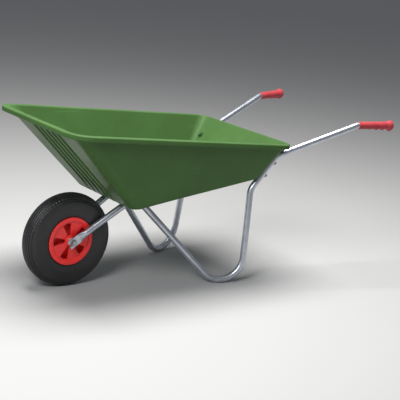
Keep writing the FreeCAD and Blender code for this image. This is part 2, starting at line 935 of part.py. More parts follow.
def front_pad_frame():
    """On the tray's floor over the tube's peak: Z runs down through the floor and the tube."""
    corners = tube_corners()
    _, apex, _ = corner_arc(corners[1], corners[2], corners[3], S["peak_bend"].value)
    _, tilt = slope_between(S["floor_front_x"], S["floor_front_z"],
                            S["floor_rear_x"], S["floor_rear_z"])
    down = FreeCAD.Rotation(Y_AXIS, -tilt).multVec(Z_AXIS) * -1
    x = apex.x - S["axle_place"].value
    gap = (floor_z(x) - apex.z) * -down.z + S["tray_wall"].value
    return FreeCAD.Placement(apex - down * gap, turned(down))


def front_bolt_frame():
    """The seat of a front bolt, sunk below the floor."""
    return moved(front_pad_frame(), S["recess_depth"].value)


def pad_height():
    """How far the moulded pad under the floor reaches down to the tube."""
    corners = tube_corners()
    _, apex, _ = corner_arc(corners[1], corners[2], corners[3], S["peak_bend"].value)
    top = (front_pad_frame().Base - apex).Length - S["pipe_radius"].value
    return sized(top) - S["fit_gap"] - S["pad_relief"]


def rear_bolt_frames():
    return [rear_bolt_frame(station) for station in REAR_BOLT_STATIONS]


def bolt_frames():
    return [front_bolt_frame()] + rear_bolt_frames()


def both_sides(frames):
    return frames + [flipped(frame) for frame in frames]


def flipped(placement):
    """The same place on the right side of the wheelbarrow."""
    base = placement.Base
    axis = placement.Rotation.multVec(Z_AXIS)
    there = FreeCAD.Vector(base.x, -base.y, base.z)
    return FreeCAD.Placement(there, turned(FreeCAD.Vector(axis.x, -axis.y, axis.z)))


def drills(name, frames, reach):
    """Clearance holes through the tray and the tubes, as one tool."""
    radius = S["bolt_radius"] + S["hole_gap"]
    made = [cylinder(f"{name}_{i}", radius, reach, moved(frame, -reach.value / 3))
            for i, frame in enumerate(frames)]
    tool = doc.addObject("Part::MultiFuse", name)
    tool.Shapes = made
    return tool


def frame_tubes():
    spine = doc.addObject("Part::Feature", "tube_centre_line")
    spine.Shape = bent_wire(tube_corners(), tube_radii())
    outside = sweep("tube_outside", S["pipe_radius"], spine)
    bore = sweep("tube_bore", S["pipe_radius"] - S["pipe_wall"], spine)
    pipe = cut("pipe", outside, bore)
    whole = fuse("pipe_with_fork_end", pipe, fork_end())
    left = cut("left_frame_tube", whole, drills("tube_drills", bolt_frames(), S["tube_drill"]))
    mirror("right_frame_tube", left)


def tray():
    pads = []
    recesses = []
    half_wall = S["tray_wall"] * 0.5
    seats = [front_pad_frame(), flipped(front_pad_frame())]
    for i, seat in enumerate(seats):
        pads.append(cylinder(f"pad_{i}", S["pad_radius"], pad_height() - half_wall,
                             moved(seat, half_wall.value)))
        recesses.append(cylinder(f"recess_{i}", S["recess_radius"], S["recess_depth"] * 2,
                                 moved(seat, -S["recess_depth"].value)))
    for i, frame in enumerate(both_sides(rear_bolt_frames())):
        pads.append(cylinder(f"wall_boss_{i}", S["wall_boss_radius"],
                             S["boss_height"] + half_wall, frame))
    padded = fuse("tray_with_pads", tray_moulding(), group("pads", pads))
    recessed = cut("tray_with_recesses", padded, group("recesses", recesses))
    cut("tray", recessed, drills("tray_drills", both_sides(bolt_frames()), S["tray_drill"]))


def grip(name, side):
    """A moulded grip over the end of a handle."""
    run = S["grip_length"]
    bore = S["pipe_radius"] + S["grip_gap"]
    bend = vector(S["handle_x"], S["handle_y"] * side, S["handle_z"])
    end = vector(S["end_x"], S["end_y"] * side, S["end_z"])
    along = (end - bend).normalize()
    cover = S["grip_cover"]
    start = end + along * (cover.value - run.value)
    profile = [
        (bore, sized(0)),
        (S["grip_collar_radius"], sized(0)),
        (S["grip_collar_radius"], S["grip_collar_length"]),
        (S["grip_radius"], S["grip_neck_end"]),
        (S["grip_radius"], run - S["grip_taper_length"]),
        (S["grip_end_radius"] - 1.5, run - 16),
        (S["grip_end_radius"], run - 8),
        (S["grip_end_radius"], run - 2),
        (S["grip_end_radius"] - 2, run),
        (sized(0), run),
        (sized(0), run - cover + S["grip_floor_gap"]),
        (bore, run - cover + S["grip_floor_gap"]),
    ]
    turn = FreeCAD.Rotation(Y_AXIS, along)
    revolved(name, profile, FreeCAD.Placement(start, turn))


# ---------------------------------------------------------------- fixings

def tray_fixings(name, frames, clamped):
    """Bolts with washers inside the tray and nuts behind the tube."""
    bolts = []
    washers = []
    nuts = []
    washer = S["bolt_washer"]
    for i, frame in enumerate(frames):
        seat = moved(frame, -washer.value)
        label = f"{name}_{i}"
        head = cylinder(label + "_head", S["bolt_head_radius"], S["bolt_head"],
                        moved(seat, -S["bolt_head"].value))
        length = washer + clamped + S["bolt_nut"] + S["bolt_tail"]
        shank = cylinder(label + "_shank", S["bolt_radius"], length, seat)
        bolts.append(fuse(label + "_bolt", head, shank))
        washers.append(ring(label + "_washer", S["bolt_washer_radius"],
                            S["bolt_radius"] + S["hole_gap"], washer, seat))
        behind = moved(frame, clamped.value)
        blank = prism(label + "_nut_blank", S["bolt_nut_radius"], S["bolt_nut"], behind)
        bore = cylinder(label + "_nut_bore", S["bolt_radius"] + S["thread_gap"],
                        S["bolt_nut"], behind)
        nuts.append(cut(label + "_nut", blank, bore))
    group(name + "_tray_bolts", bolts)
    group(name + "_tray_washers", washers)
    group(name + "_tray_nuts", nuts)


def all_fixings():
    across = S["pipe_radius"] * 2 + S["fit_gap"] + S["mating_gap"]
    tray_fixings("rear", both_sides(rear_bolt_frames()),
                 across + S["tray_wall"] + S["boss_height"])
    reach = pad_height() - S["recess_depth"] + S["pad_relief"] + across
    tray_fixings("front", both_sides([front_bolt_frame()]), reach + S["nut_relief"])


# ---------------------------------------------------------------- build

def build():
    tyre()
    inner_tube()
    wheel_half("wheel_half_left", -1)
    right_half_with_valve_hole()
    wheel_screws()
    valve()
    hub_bush("hub_bush_left", -1)
    hub_bush("hub_bush_right", 1)
    axle_bolt()
    axle_nut()
    axle_washers()
    axle_spacer("axle_spacer_left", -1)
    axle_spacer("axle_spacer_right", 1)
    tray()
    frame_tubes()
    grip("left_grip", -1)
    grip("right_grip", 1)
    all_fixings()
    doc.recompute()


NODES = (
    "tyre", "inner_tube", "wheel_half_left", "wheel_half_right", "wheel_screws",
    "valve_stem", "valve_cap", "hub_bush_left", "hub_bush_right",
    "axle_bolt", "axle_nut", "axle_washers", "axle_spacer_left", "axle_spacer_right",
    "tray", "left_frame_tube", "right_frame_tube", "left_grip", "right_grip",
    "front_tray_bolts", "front_tray_washers", "front_tray_nuts",
    "rear_tray_bolts", "rear_tray_washers", "rear_tray_nuts",
)


def check_and_write():
    for thing in doc.Objects:
        if "Invalid" in thing.State or "Error" in thing.State:
            raise ValueError(f"{thing.Label} failed: {thing.State}")
    whole = FreeCAD.BoundBox()
    for name in NODES:
        shape = doc.getObject(name).Shape
        if shape.isNull() or not shape.isValid():
            raise ValueError(f"{name} has no valid shape")
        whole.add(shape.BoundBox)
    os.makedirs("parts", exist_ok=True)
    for name in NODES:
        doc.getObject(name).Shape.exportStep(f"parts/{name}.step")
    print(f"box X {whole.XMin:.2f} {whole.XMax:.2f} Y {whole.YMin:.2f} {whole.YMax:.2f} "
          f"Z {whole.ZMin:.2f} {whole.ZMax:.2f}")


build()
check_and_write()
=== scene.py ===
"""Looks for a garden wheelbarrow with a moulded tray, a tube frame and a pneumatic wheel."""

import math

import bmesh
import bpy
from mathutils import Matrix, Vector


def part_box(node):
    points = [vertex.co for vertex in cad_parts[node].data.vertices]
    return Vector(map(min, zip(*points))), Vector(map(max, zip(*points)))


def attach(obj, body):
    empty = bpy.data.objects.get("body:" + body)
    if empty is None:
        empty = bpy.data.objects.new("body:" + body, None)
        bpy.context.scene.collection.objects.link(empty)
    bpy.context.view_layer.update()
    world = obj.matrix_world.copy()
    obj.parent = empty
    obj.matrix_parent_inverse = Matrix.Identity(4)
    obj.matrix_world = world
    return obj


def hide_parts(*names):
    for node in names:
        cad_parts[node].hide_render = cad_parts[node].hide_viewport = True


bl_info = {
    "name": "Garden wheelbarrow",
    "version": (1, 0, 0),
    "blender": (4, 5, 0),
    "location": "View3D > Sidebar > Wheelbarrow",
    "description": "Builds the looks of a garden wheelbarrow around its fixed frame",
    "category": "Object",
}

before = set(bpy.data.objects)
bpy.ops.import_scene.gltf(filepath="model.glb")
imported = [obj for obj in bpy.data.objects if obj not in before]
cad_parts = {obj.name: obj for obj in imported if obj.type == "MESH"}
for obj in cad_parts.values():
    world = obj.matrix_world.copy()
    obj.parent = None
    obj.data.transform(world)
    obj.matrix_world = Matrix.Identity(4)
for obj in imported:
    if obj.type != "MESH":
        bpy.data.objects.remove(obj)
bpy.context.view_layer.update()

TYRE_LOW, TYRE_HIGH = (Vector(corner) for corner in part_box("tyre"))
AXLE = (TYRE_LOW + TYRE_HIGH) / 2
TYRE_RADIUS = (TYRE_HIGH.z - TYRE_LOW.z) / 2
TYRE_HALF_WIDTH = (TYRE_HIGH.y - TYRE_LOW.y) / 2
MM = 0.001
UP = Vector((0, 0, 1))


# ---------------------------------------------------------------- sizes and colours

def length(name, description, default):
    return bpy.props.FloatProperty(name=name, description=description, default=default,
                                   min=0.0, unit="LENGTH", subtype="DISTANCE")


def colour(name, description, default):
    return bpy.props.FloatVectorProperty(name=name, description=description,
                                         default=default, min=0.0, max=1.0, size=3,
                                         subtype="COLOR")


class BarrowTraySizes(bpy.types.PropertyGroup):
    lip_drop: length("Lip drop", "How far the lip turns down", 0.017)
    lip_width: length("Lip width", "How far the lip stands out at the front and sides", 0.022)
    rear_lip_width: length("Rear lip width", "How far the lip stands out at the rear", 0.008)
    wall: length("Wall", "Thickness of the moulding", 0.0035)
    flute_depth: length("Flute depth", "Depth of the front wall's flutes", 0.005)
    flute_width: length("Flute width", "Width of one flute", 0.028)
    flute_pitch: length("Flute pitch", "From one flute's middle to the next", 0.042)
    flute_count: bpy.props.IntProperty(name="Flutes", description="Flutes in the front wall",
                                       default=5, min=1, max=9)


class BarrowWheelSizes(bpy.types.PropertyGroup):
    groove_depth: length("Groove depth", "Depth of the tread's grooves", 0.0028)
    groove_width: length("Groove width", "Width of the tread's grooves", 0.0026)
    lug_count: bpy.props.IntProperty(name="Shoulder lugs",
                                     description="Notches round each shoulder",
                                     default=72, min=12, max=180)


class BarrowGripSizes(bpy.types.PropertyGroup):
    finger_height: length("Finger stop height", "How far a finger stop stands down", 0.0048)
    pommel_rise: length("Pommel rise", "How far the grip's end flares", 0.0042)


class BarrowColours(bpy.types.PropertyGroup):
    tray: colour("Tray", "Colour of the moulded tray", (0.054, 0.118, 0.034))
    tyre: colour("Tyre", "Colour of the tyre's rubber", (0.014, 0.014, 0.015))
    wheel: colour("Wheel centre", "Colour of the wheel's moulding", (0.88, 0.030, 0.028))
    grip: colour("Grips", "Colour of the hand grips", (0.36, 0.036, 0.044))
    zinc: colour("Tube", "Colour of the galvanised tube", (0.60, 0.63, 0.70))
    floor: colour("Floor", "Colour of the studio floor", (0.40, 0.40, 0.397))


class BarrowStageSizes(bpy.types.PropertyGroup):
    floor_side: length("Floor side", "Side of the studio floor", 60.0)
    lens: bpy.props.FloatProperty(name="Lens", description="Focal length in millimetres",
                                  default=103.49, min=10.0)
    key_power: bpy.props.FloatProperty(name="Key light", description="Power in watts",
                                       default=215.0, min=0.0)
    side_power: bpy.props.FloatProperty(name="Side light", description="Power in watts",
                                        default=55.0, min=0.0)
    sky: bpy.props.FloatProperty(name="Sky", description="Strength of the surroundings",
                                 default=0.23, min=0.0)


# ---------------------------------------------------------------- node helpers

def wire(tree, socket, value):
    """Link a node's output to a socket, or set the socket to a plain value."""
    if isinstance(value, bpy.types.NodeSocket):
        tree.links.new(value, socket)
    else:
        socket.default_value = value


def add(tree, kind, inputs=(), **fields):
    """A shader node with its own fields, and its inputs by name or number."""
    made = tree.nodes.new("ShaderNode" + kind)
    for name, value in fields.items():
        setattr(made, name, value)
    for key, value in dict(inputs).items():
        wire(tree, made.inputs[key], value)
    return made


def maths(tree, operation, a, b, clamp=False):
    return add(tree, "Math", {0: a, 1: b}, operation=operation, use_clamp=clamp).outputs[0]


def remap(tree, value, low, high, to_low=0.0, to_high=1.0):
    """Ease a value from one range into another, held at the ends."""
    return add(tree, "MapRange", {"Value": value, "From Min": low, "From Max": high,
                                  "To Min": to_low, "To Max": to_high},
               interpolation_type="SMOOTHSTEP").outputs["Result"]


def blend_colour(tree, factor, a, b):
    return add(tree, "Mix", {0: factor, 6: a, 7: b}, data_type="RGBA").outputs[2]


def noise(tree, where, scale, detail=3.0, roughness=0.55):
    return add(tree, "TexNoise", {"Vector": where, "Scale": scale, "Detail": detail,
                                  "Roughness": roughness}).outputs[0]


def rgba(rgb, times=1.0):
    return (*(channel * times for channel in rgb), 1.0)


def new_group(name, inputs, outputs):
    """A node group with number inputs, and its start and end sockets by name."""
    tree = bpy.data.node_groups.new(name, "ShaderNodeTree")
    for label, default in inputs:
        socket = tree.interface.new_socket(name=label, in_out="INPUT",
                                           socket_type="NodeSocketFloat")
        socket.default_value = default
    for label, kind in outputs:
        tree.interface.new_socket(name=label, in_out="OUTPUT", socket_type="NodeSocket" + kind)
    start = tree.nodes.new("NodeGroupInput")
    end = tree.nodes.new("NodeGroupOutput")
    return tree, start.outputs, end.inputs


def object_place(tree):
    return add(tree, "TexCoord").outputs["Object"]


# ---------------------------------------------------------------- shared effects

RUB_ANGLES = (0.35, -0.8)
RUB_TILT = 0.2
RUB_STRETCH = (0.05, 4.0, 4.0)
RUB_PATCH_SCALE = 9.0


def grain_group():
    """Fine moulding or casting grain: a height, and a slow mottle for colour and gloss."""
    tree, given, out = new_group("Grain", [("Fine Scale", 900.0), ("Mottle Scale", 14.0)],
                                 [("Height", "Float"), ("Mottle", "Float")])
    where = object_place(tree)
    fine = noise(tree, where, given["Fine Scale"], detail=2.0, roughness=0.5)
    coarse = noise(tree, where, given["Mottle Scale"], detail=5.0, roughness=0.6)
    wire(tree, out["Height"], fine)
    wire(tree, out["Mottle"], remap(tree, coarse, low=0.3, high=0.7))
    return tree


def edge_wear_group():
    """A mask on outer edges, broken up by noise, and a normal that rounds the edges."""
    tree, given, out = new_group("Edge wear", [("Radius", 0.0015), ("Breakup Scale", 120.0),
                                               ("Gain", 3.0)],
                                 [("Mask", "Float"), ("Normal", "Vector")])
    round_edge = add(tree, "Bevel", {"Radius": given["Radius"]}, samples=6).outputs[0]
    flat = add(tree, "NewGeometry").outputs["Normal"]
    facing = add(tree, "VectorMath", {0: round_edge, 1: flat}, operation="DOT_PRODUCT")
    bend = maths(tree, "SUBTRACT", 1.0, facing.outputs["Value"])
    lifted = maths(tree, "MULTIPLY", bend, given["Gain"], clamp=True)
    patches = noise(tree, object_place(tree), given["Breakup Scale"], detail=4.0)
    broken = remap(tree, patches, low=0.35, high=0.65)
    wire(tree, out["Mask"], maths(tree, "MULTIPLY", lifted, broken, clamp=True))
    wire(tree, out["Normal"], round_edge)
    return tree


def dust_group():
    """Dust that settles on faces that look up, in uneven patches; on the tyre this mask also
    paints a sheen on the top.
    """
    tree, given, out = new_group("Dust", [("Patch Scale", 22.0), ("Amount", 0.3)],
                                 [("Mask", "Float")])
    normal = add(tree, "TexCoord").outputs["Normal"]
    upward = add(tree, "SeparateXYZ", {0: normal}).outputs["Z"]
    shelf = remap(tree, upward, low=-0.2, high=1.0)
    field = noise(tree, object_place(tree), given["Patch Scale"], detail=6.0, roughness=0.65)
    patches = remap(tree, field, low=0.32, high=0.72)
    settled = maths(tree, "MULTIPLY", shelf, patches)
    wire(tree, out["Mask"], maths(tree, "MULTIPLY", settled, given["Amount"], clamp=True))
    return tree


def scratches_group():
    """Long thin rubs that run two ways, in patches, as a mask."""
    tree, given, out = new_group("Scratches", [("Scale", 40.0), ("Reach", 0.08)],
                                 [("Mask", "Float")])
    place = object_place(tree)
    masks = []
    for angle in RUB_ANGLES:
        turned = add(tree, "Mapping", {"Vector": place, "Rotation": (angle, RUB_TILT, angle),
                                       "Scale": RUB_STRETCH}).outputs[0]
        field = noise(tree, turned, given["Scale"], detail=1.0, roughness=0.4)
        masks.append(remap(tree, field, low=0.70, high=0.76))
    patches = noise(tree, place, RUB_PATCH_SCALE, detail=2.0)
    gate = remap(tree, patches, low=0.5, high=0.62)
    strength = maths(tree, "MULTIPLY", maths(tree, "MAXIMUM", *masks), given["Reach"])
    wire(tree, out["Mask"], maths(tree, "MULTIPLY", strength, gate, clamp=True))
    return tree


EFFECTS = {}


def build_effects():
    for make in (grain_group, edge_wear_group, dust_group, scratches_group):
        tree = make()
        EFFECTS[tree.name] = tree


def effect(tree, name, **values):
    """One shared effect placed in a material with its own values."""
    made = tree.nodes.new("ShaderNodeGroup")
    made.node_tree = EFFECTS[name]
    for key, value in values.items():
        wire(tree, made.inputs[key.replace("_", " ")], value)
    return made.outputs


# ---------------------------------------------------------------- materials

MATERIALS = {}

RUBBED_GREEN = (0.16, 0.34, 0.13)
WORN_GREEN = (0.20, 0.42, 0.16)
DUSTY_GREEN = (0.26, 0.27, 0.20)
# Brown for the tyre's upward faces: dust, and a painted sheen.
RUBBER_DUST_AND_SHEEN = (0.062, 0.056, 0.047)
SCUFFED_RUBBER = (0.045, 0.043, 0.040)
RUBBED_RED = (0.72, 0.13, 0.12)
WORN_RED = (0.80, 0.16, 0.14)
DUSTY_RED = (0.30, 0.20, 0.16)
POLISHED_GRIP = (0.50, 0.08, 0.09)
DUSTY_GRIP = (0.34, 0.10, 0.10)
ZINC_BLOOM = (0.40, 0.43, 0.47)
RUBBED_ZINC = (0.80, 0.82, 0.85)
BRIGHT_ZINC = (0.85, 0.86, 0.88)
DUSTY_ZINC = (0.34, 0.32, 0.28)
METAL_DIRT = (0.16, 0.14, 0.12)

METALS = (
    {"name": "zinc_plate", "base": (0.42, 0.42, 0.43), "rough": 0.30,
     "bright": (0.80, 0.80, 0.80)},
    {"name": "valve_brass", "base": (0.62, 0.45, 0.19), "rough": 0.28,
     "bright": (0.85, 0.70, 0.38)},
)
MOULDINGS = (
    {"name": "bush_nylon", "base": (0.62, 0.61, 0.56), "rough": 0.42,
     "worn_to": (0.78, 0.77, 0.72)},
    {"name": "tube_rubber", "base": (0.018, 0.018, 0.018), "rough": 0.62,
     "worn_to": (0.05, 0.05, 0.05)},
    {"name": "cap_black_plastic", "base": (0.016, 0.016, 0.017), "rough": 0.38,
     "worn_to": (0.07, 0.07, 0.07)},
)
BOLT_CAP_ROUGHNESS = 0.34
BOLT_CAP_WEAR = 1.3


def settings():
    """The scene, which holds every group of sizes and colours."""
    return bpy.context.scene


def new_material(name, **uniform):
    """A material with a Principled shader whose uniform numbers sit on its own sockets."""
    made = bpy.data.materials.new(name)
    made.use_nodes = True
    tree = made.node_tree
    shader = tree.nodes["Principled BSDF"]
    for key, value in uniform.items():
        shader.inputs[key.replace("_", " ")].default_value = value
    MATERIALS[name] = made
    return tree, shader.inputs


def mottled(tree, grain, base, darkest, lightest):
    """The base colour, darker and lighter with the grain's slow mottle."""
    return blend_colour(tree, grain["Mottle"], rgba(base, darkest), rgba(base, lightest))


def cover(tree, under, mask, rgb):
    """A plain colour laid over another wherever the mask is white."""
    return blend_colour(tree, mask, under, rgba(rgb))


def uneven_gloss(tree, driver, glossiest, mattest):
    """Roughness that drifts between two values."""
    return remap(tree, driver, 0.0, 1.0, glossiest, mattest)


def dulled_metal(tree, dust, least):
    """How metallic a surface is: full where clean, less where dust lies."""
    return remap(tree, dust["Mask"], 0.0, 0.5, 1.0, least)


def bump(tree, height, strength, distance, normal=None):
    inputs = {"Height": height, "Strength": strength, "Distance": distance}
    if normal is not None:
        inputs["Normal"] = normal
    return add(tree, "Bump", inputs).outputs[0]


def tray_plastic():
    """Green moulded plastic: faint flow marks, fine grain, pale rubs on the edges."""
    tree, shader = new_material("tray_green_plastic", IOR=1.49, Specular_IOR_Level=0.12)
    base = settings().barrow_colours.tray
    grain = effect(tree, "Grain", Fine_Scale=1500.0, Mottle_Scale=6.0)
    wear = effect(tree, "Edge wear", Radius=0.0016, Breakup_Scale=70.0, Gain=1.0)
    dust = effect(tree, "Dust", Patch_Scale=9.0, Amount=0.03)
    rubs = effect(tree, "Scratches", Scale=30.0, Reach=0.10)
    body = mottled(tree, grain, base, darkest=0.93, lightest=1.09)
    rubbed = cover(tree, body, rubs["Mask"], RUBBED_GREEN)
    worn = cover(tree, rubbed, wear["Mask"], WORN_GREEN)
    wire(tree, shader["Base Color"], cover(tree, worn, dust["Mask"], DUSTY_GREEN))
    gloss = uneven_gloss(tree, grain["Mottle"], glossiest=0.34, mattest=0.42)
    dulling = maths(tree, "MULTIPLY", dust["Mask"], 0.6)
    wire(tree, shader["Roughness"], maths(tree, "ADD", gloss, dulling))
    flow_marks = noise(tree, object_place(tree), scale=55.0, detail=2.0)
    height = maths(tree, "ADD", grain["Height"], maths(tree, "MULTIPLY", flow_marks, 3.0))
    wire(tree, shader["Normal"], bump(tree, height, strength=0.12, distance=0.0004,
                                      normal=wear["Normal"]))


def tyre_rubber():
    """Black rubber with a brown bloom on its upward faces: partly dust rubbed in, partly a
    painted sheen on the top of the tyre.
    """
    tree, shader = new_material("tyre_black_rubber", IOR=1.5, Specular_IOR_Level=0.5)
    base = settings().barrow_colours.tyre
    grain = effect(tree, "Grain", Fine_Scale=1300.0, Mottle_Scale=16.0)
    dust = effect(tree, "Dust", Patch_Scale=18.0, Amount=0.16)
    wear = effect(tree, "Edge wear", Radius=0.001, Breakup_Scale=200.0, Gain=1.6)
    body = mottled(tree, grain, base, darkest=0.8, lightest=1.35)
    # Lighter brown on the upward faces: partly dust, partly a painted sheen on the top of the
    # tyre.
    bloomed = cover(tree, body, dust["Mask"], RUBBER_DUST_AND_SHEEN)
    wire(tree, shader["Base Color"], cover(tree, bloomed, wear["Mask"], SCUFFED_RUBBER))
    wire(tree, shader["Roughness"],
         uneven_gloss(tree, grain["Mottle"], glossiest=0.34, mattest=0.48))
    wire(tree, shader["Normal"], bump(tree, grain["Height"], strength=0.30, distance=0.0005,
                                      normal=wear["Normal"]))


def wheel_plastic():
    """Red moulded plastic, semi-gloss, with faint rubs and worn edges."""
    tree, shader = new_material("wheel_red_plastic", IOR=1.5)
    base = settings().barrow_colours.wheel
    grain = effect(tree, "Grain", Fine_Scale=1100.0, Mottle_Scale=24.0)
    wear = effect(tree, "Edge wear", Radius=0.0014, Breakup_Scale=160.0, Gain=1.6)
    dust = effect(tree, "Dust", Patch_Scale=40.0, Amount=0.06)
    rubs = effect(tree, "Scratches", Scale=90.0, Reach=0.3)
    body = mottled(tree, grain, base, darkest=0.9, lightest=1.08)
    rubbed = cover(tree, body, rubs["Mask"], RUBBED_RED)
    worn = cover(tree, rubbed, wear["Mask"], WORN_RED)
    wire(tree, shader["Base Color"], cover(tree, worn, dust["Mask"], DUSTY_RED))
    wire(tree, shader["Roughness"],
         uneven_gloss(tree, grain["Mottle"], glossiest=0.30, mattest=0.44))
    wire(tree, shader["Normal"], bump(tree, grain["Height"], strength=0.15, distance=0.0004,
                                      normal=wear["Normal"]))


def grip_plastic():
    """Soft red grip plastic: matt, pinkish where hands have polished it."""
    tree, shader = new_material("grip_red_plastic", IOR=1.48, Specular_IOR_Level=0.3)
    base = settings().barrow_colours.grip
    grain = effect(tree, "Grain", Fine_Scale=800.0, Mottle_Scale=45.0)
    wear = effect(tree, "Edge wear", Radius=0.0012, Breakup_Scale=180.0, Gain=1.5)
    dust = effect(tree, "Dust", Patch_Scale=60.0, Amount=0.12)
    body = mottled(tree, grain, base, darkest=0.88, lightest=1.15)
    polished = cover(tree, body, wear["Mask"], POLISHED_GRIP)
    wire(tree, shader["Base Color"], cover(tree, polished, dust["Mask"], DUSTY_GRIP))
    wire(tree, shader["Roughness"],
         uneven_gloss(tree, grain["Mottle"], glossiest=0.46, mattest=0.60))
    wire(tree, shader["Normal"], bump(tree, grain["Height"], strength=0.35, distance=0.0005,
                                      normal=wear["Normal"]))


def galvanised_steel():
    """Zinc on steel tube: faint spangle, grey blooms and fine rubs."""
    tree, shader = new_material("galvanised_steel")
    base = settings().barrow_colours.zinc
    grain = effect(tree, "Grain", Fine_Scale=1600.0, Mottle_Scale=34.0)
    wear = effect(tree, "Edge wear", Radius=0.0012, Breakup_Scale=60.0, Gain=0.25)
    dust = effect(tree, "Dust", Patch_Scale=50.0, Amount=0.08)
    rubs = effect(tree, "Scratches", Scale=140.0, Reach=0.15)
    spangle = add(tree, "TexVoronoi", {"Vector": object_place(tree), "Scale": 150.0,
                                       "Randomness": 1.0}, feature="F1").outputs["Color"]
    facet = add(tree, "SeparateColor", {0: spangle}).outputs[0]
    crystals = blend_colour(tree, facet, rgba(base, 0.94), rgba(base, 1.04))
    clouded = cover(tree, crystals, 0.5, ZINC_BLOOM)
    bloomed = blend_colour(tree, grain["Mottle"], crystals, clouded)
    rubbed = cover(tree, bloomed, rubs["Mask"], RUBBED_ZINC)
    bright = cover(tree, rubbed, wear["Mask"], BRIGHT_ZINC)
    wire(tree, shader["Base Color"], cover(tree, bright, dust["Mask"], DUSTY_ZINC))
    wire(tree, shader["Metallic"], dulled_metal(tree, dust, least=0.55))
    gloss = uneven_gloss(tree, facet, glossiest=0.31, mattest=0.35)
    clouding = maths(tree, "MULTIPLY", grain["Mottle"], 0.08)
    wire(tree, shader["Roughness"], maths(tree, "ADD", gloss, clouding))
    wire(tree, shader["Normal"], bump(tree, grain["Height"], strength=0.04, distance=0.0003,
                                      normal=wear["Normal"]))


def metal(name, base, rough, bright):
    """A plain plated or turned metal with worn edges and a little dirt."""
    tree, shader = new_material(name)
    grain = effect(tree, "Grain", Fine_Scale=1800.0, Mottle_Scale=90.0)
    wear = effect(tree, "Edge wear", Radius=0.0006, Breakup_Scale=400.0, Gain=1.8)
    dust = effect(tree, "Dust", Patch_Scale=90.0, Amount=0.30)
    body = mottled(tree, grain, base, darkest=0.75, lightest=1.1)
    worn = cover(tree, body, wear["Mask"], bright)
    wire(tree, shader["Base Color"], cover(tree, worn, dust["Mask"], METAL_DIRT))
    wire(tree, shader["Metallic"], dulled_metal(tree, dust, least=0.4))
    wire(tree, shader["Roughness"],
         uneven_gloss(tree, grain["Mottle"], glossiest=rough, mattest=rough + 0.16))
    wire(tree, shader["Normal"], bump(tree, grain["Height"], strength=0.2, distance=0.0003,
                                      normal=wear["Normal"]))


def dull_moulding(name, base, rough, worn_to):
    """A small dull moulding, such as a bush, a cap or the inner tube."""
    tree, shader = new_material(name)
    grain = effect(tree, "Grain", Fine_Scale=900.0, Mottle_Scale=60.0)
    wear = effect(tree, "Edge wear", Radius=0.0006, Breakup_Scale=300.0, Gain=1.5)
    body = mottled(tree, grain, base, darkest=0.85, lightest=1.12)
    wire(tree, shader["Base Color"], cover(tree, body, wear["Mask"], worn_to))
    wire(tree, shader["Roughness"],
         uneven_gloss(tree, grain["Mottle"], glossiest=rough, mattest=rough + 0.12))
    wire(tree, shader["Normal"], bump(tree, grain["Height"], strength=0.25, distance=0.0004,
                                      normal=wear["Normal"]))


def studio_floor_paint():
    """A plain floor with the faintest mottle."""
    tree, shader = new_material("studio_floor")
    base = settings().barrow_colours.floor
    slow = noise(tree, object_place(tree), scale=0.8)
    fine = noise(tree, object_place(tree), scale=260.0)
    wire(tree, shader["Base Color"], blend_colour(tree, slow, rgba(base, 0.985), rgba(base)))
    wire(tree, shader["Roughness"], remap(tree, fine, 0.3, 0.7, 0.72, 0.80))
    wire(tree, shader["Normal"], bump(tree, fine, strength=0.05, distance=0.0005))


def build_materials():
    build_effects()
    tray_plastic()
    tyre_rubber()
    wheel_plastic()
    grip_plastic()
    galvanised_steel()
    studio_floor_paint()
    for values in METALS:
        metal(**values)
    for values in MOULDINGS:
        dull_moulding(**values)
    green = settings().barrow_colours.tray
    dull_moulding("bolt_green_cap", green, BOLT_CAP_ROUGHNESS,
                  tuple(channel * BOLT_CAP_WEAR for channel in green))


# ---------------------------------------------------------------- mesh helpers

WELD_DISTANCE = 1e-6
NEARLY_STRAIGHT = math.radians(179.5)
LONGEST_REACH = 0.49


def at(x, y, z):
    """A point given in millimetres, with x counted from the axle."""
    return Vector((AXLE.x + x * MM, y * MM, z * MM))


def smooth(value):
    """Ease from 0 to 1, held at both ends."""
    value = min(1.0, max(0.0, value))
    return value * value * (3 - 2 * value)


def new_piece(name, shell, material, body, node, sharp):
    """A named mesh that rides on a body and stands for the CAD node it replaces."""
    mesh = bpy.data.meshes.new(name)
    build = bmesh.new()
    made = [build.verts.new(v) for v in shell.verts]
    for face in shell.faces:
        build.faces.new([made[i] for i in face])
    bmesh.ops.remove_doubles(build, verts=build.verts, dist=WELD_DISTANCE)
    bmesh.ops.recalc_face_normals(build, faces=build.faces)
    build.to_mesh(mesh)
    build.free()
    mesh.shade_smooth()
    mesh.set_sharp_from_angle(angle=math.radians(sharp))
    mesh.materials.append(MATERIALS[material])
    piece = bpy.data.objects.new(name, mesh)
    bpy.context.scene.collection.objects.link(piece)
    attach(piece, body)
    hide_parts(node)
    return piece


class Shell:
    """Vertices and faces that grow as rings are joined."""

    def __init__(self):
        self.verts = []
        self.faces = []

    def ring(self, points):
        start = len(self.verts)
        self.verts.extend(points)
        return range(start, len(self.verts))

    def bridge(self, a, b):
        count = len(a)
        for i in range(count):
            j = (i + 1) % count
            self.faces.append((a[i], a[j], b[j], b[i]))

    def loft(self, rings):
        """Join rings one after another, and give back the first and the last."""
        made = [self.ring(points) for points in rings]
        for a, b in zip(made, made[1:]):
            self.bridge(a, b)
        return made[0], made[-1]

    def cap(self, ring):
        self.faces.append(tuple(ring))


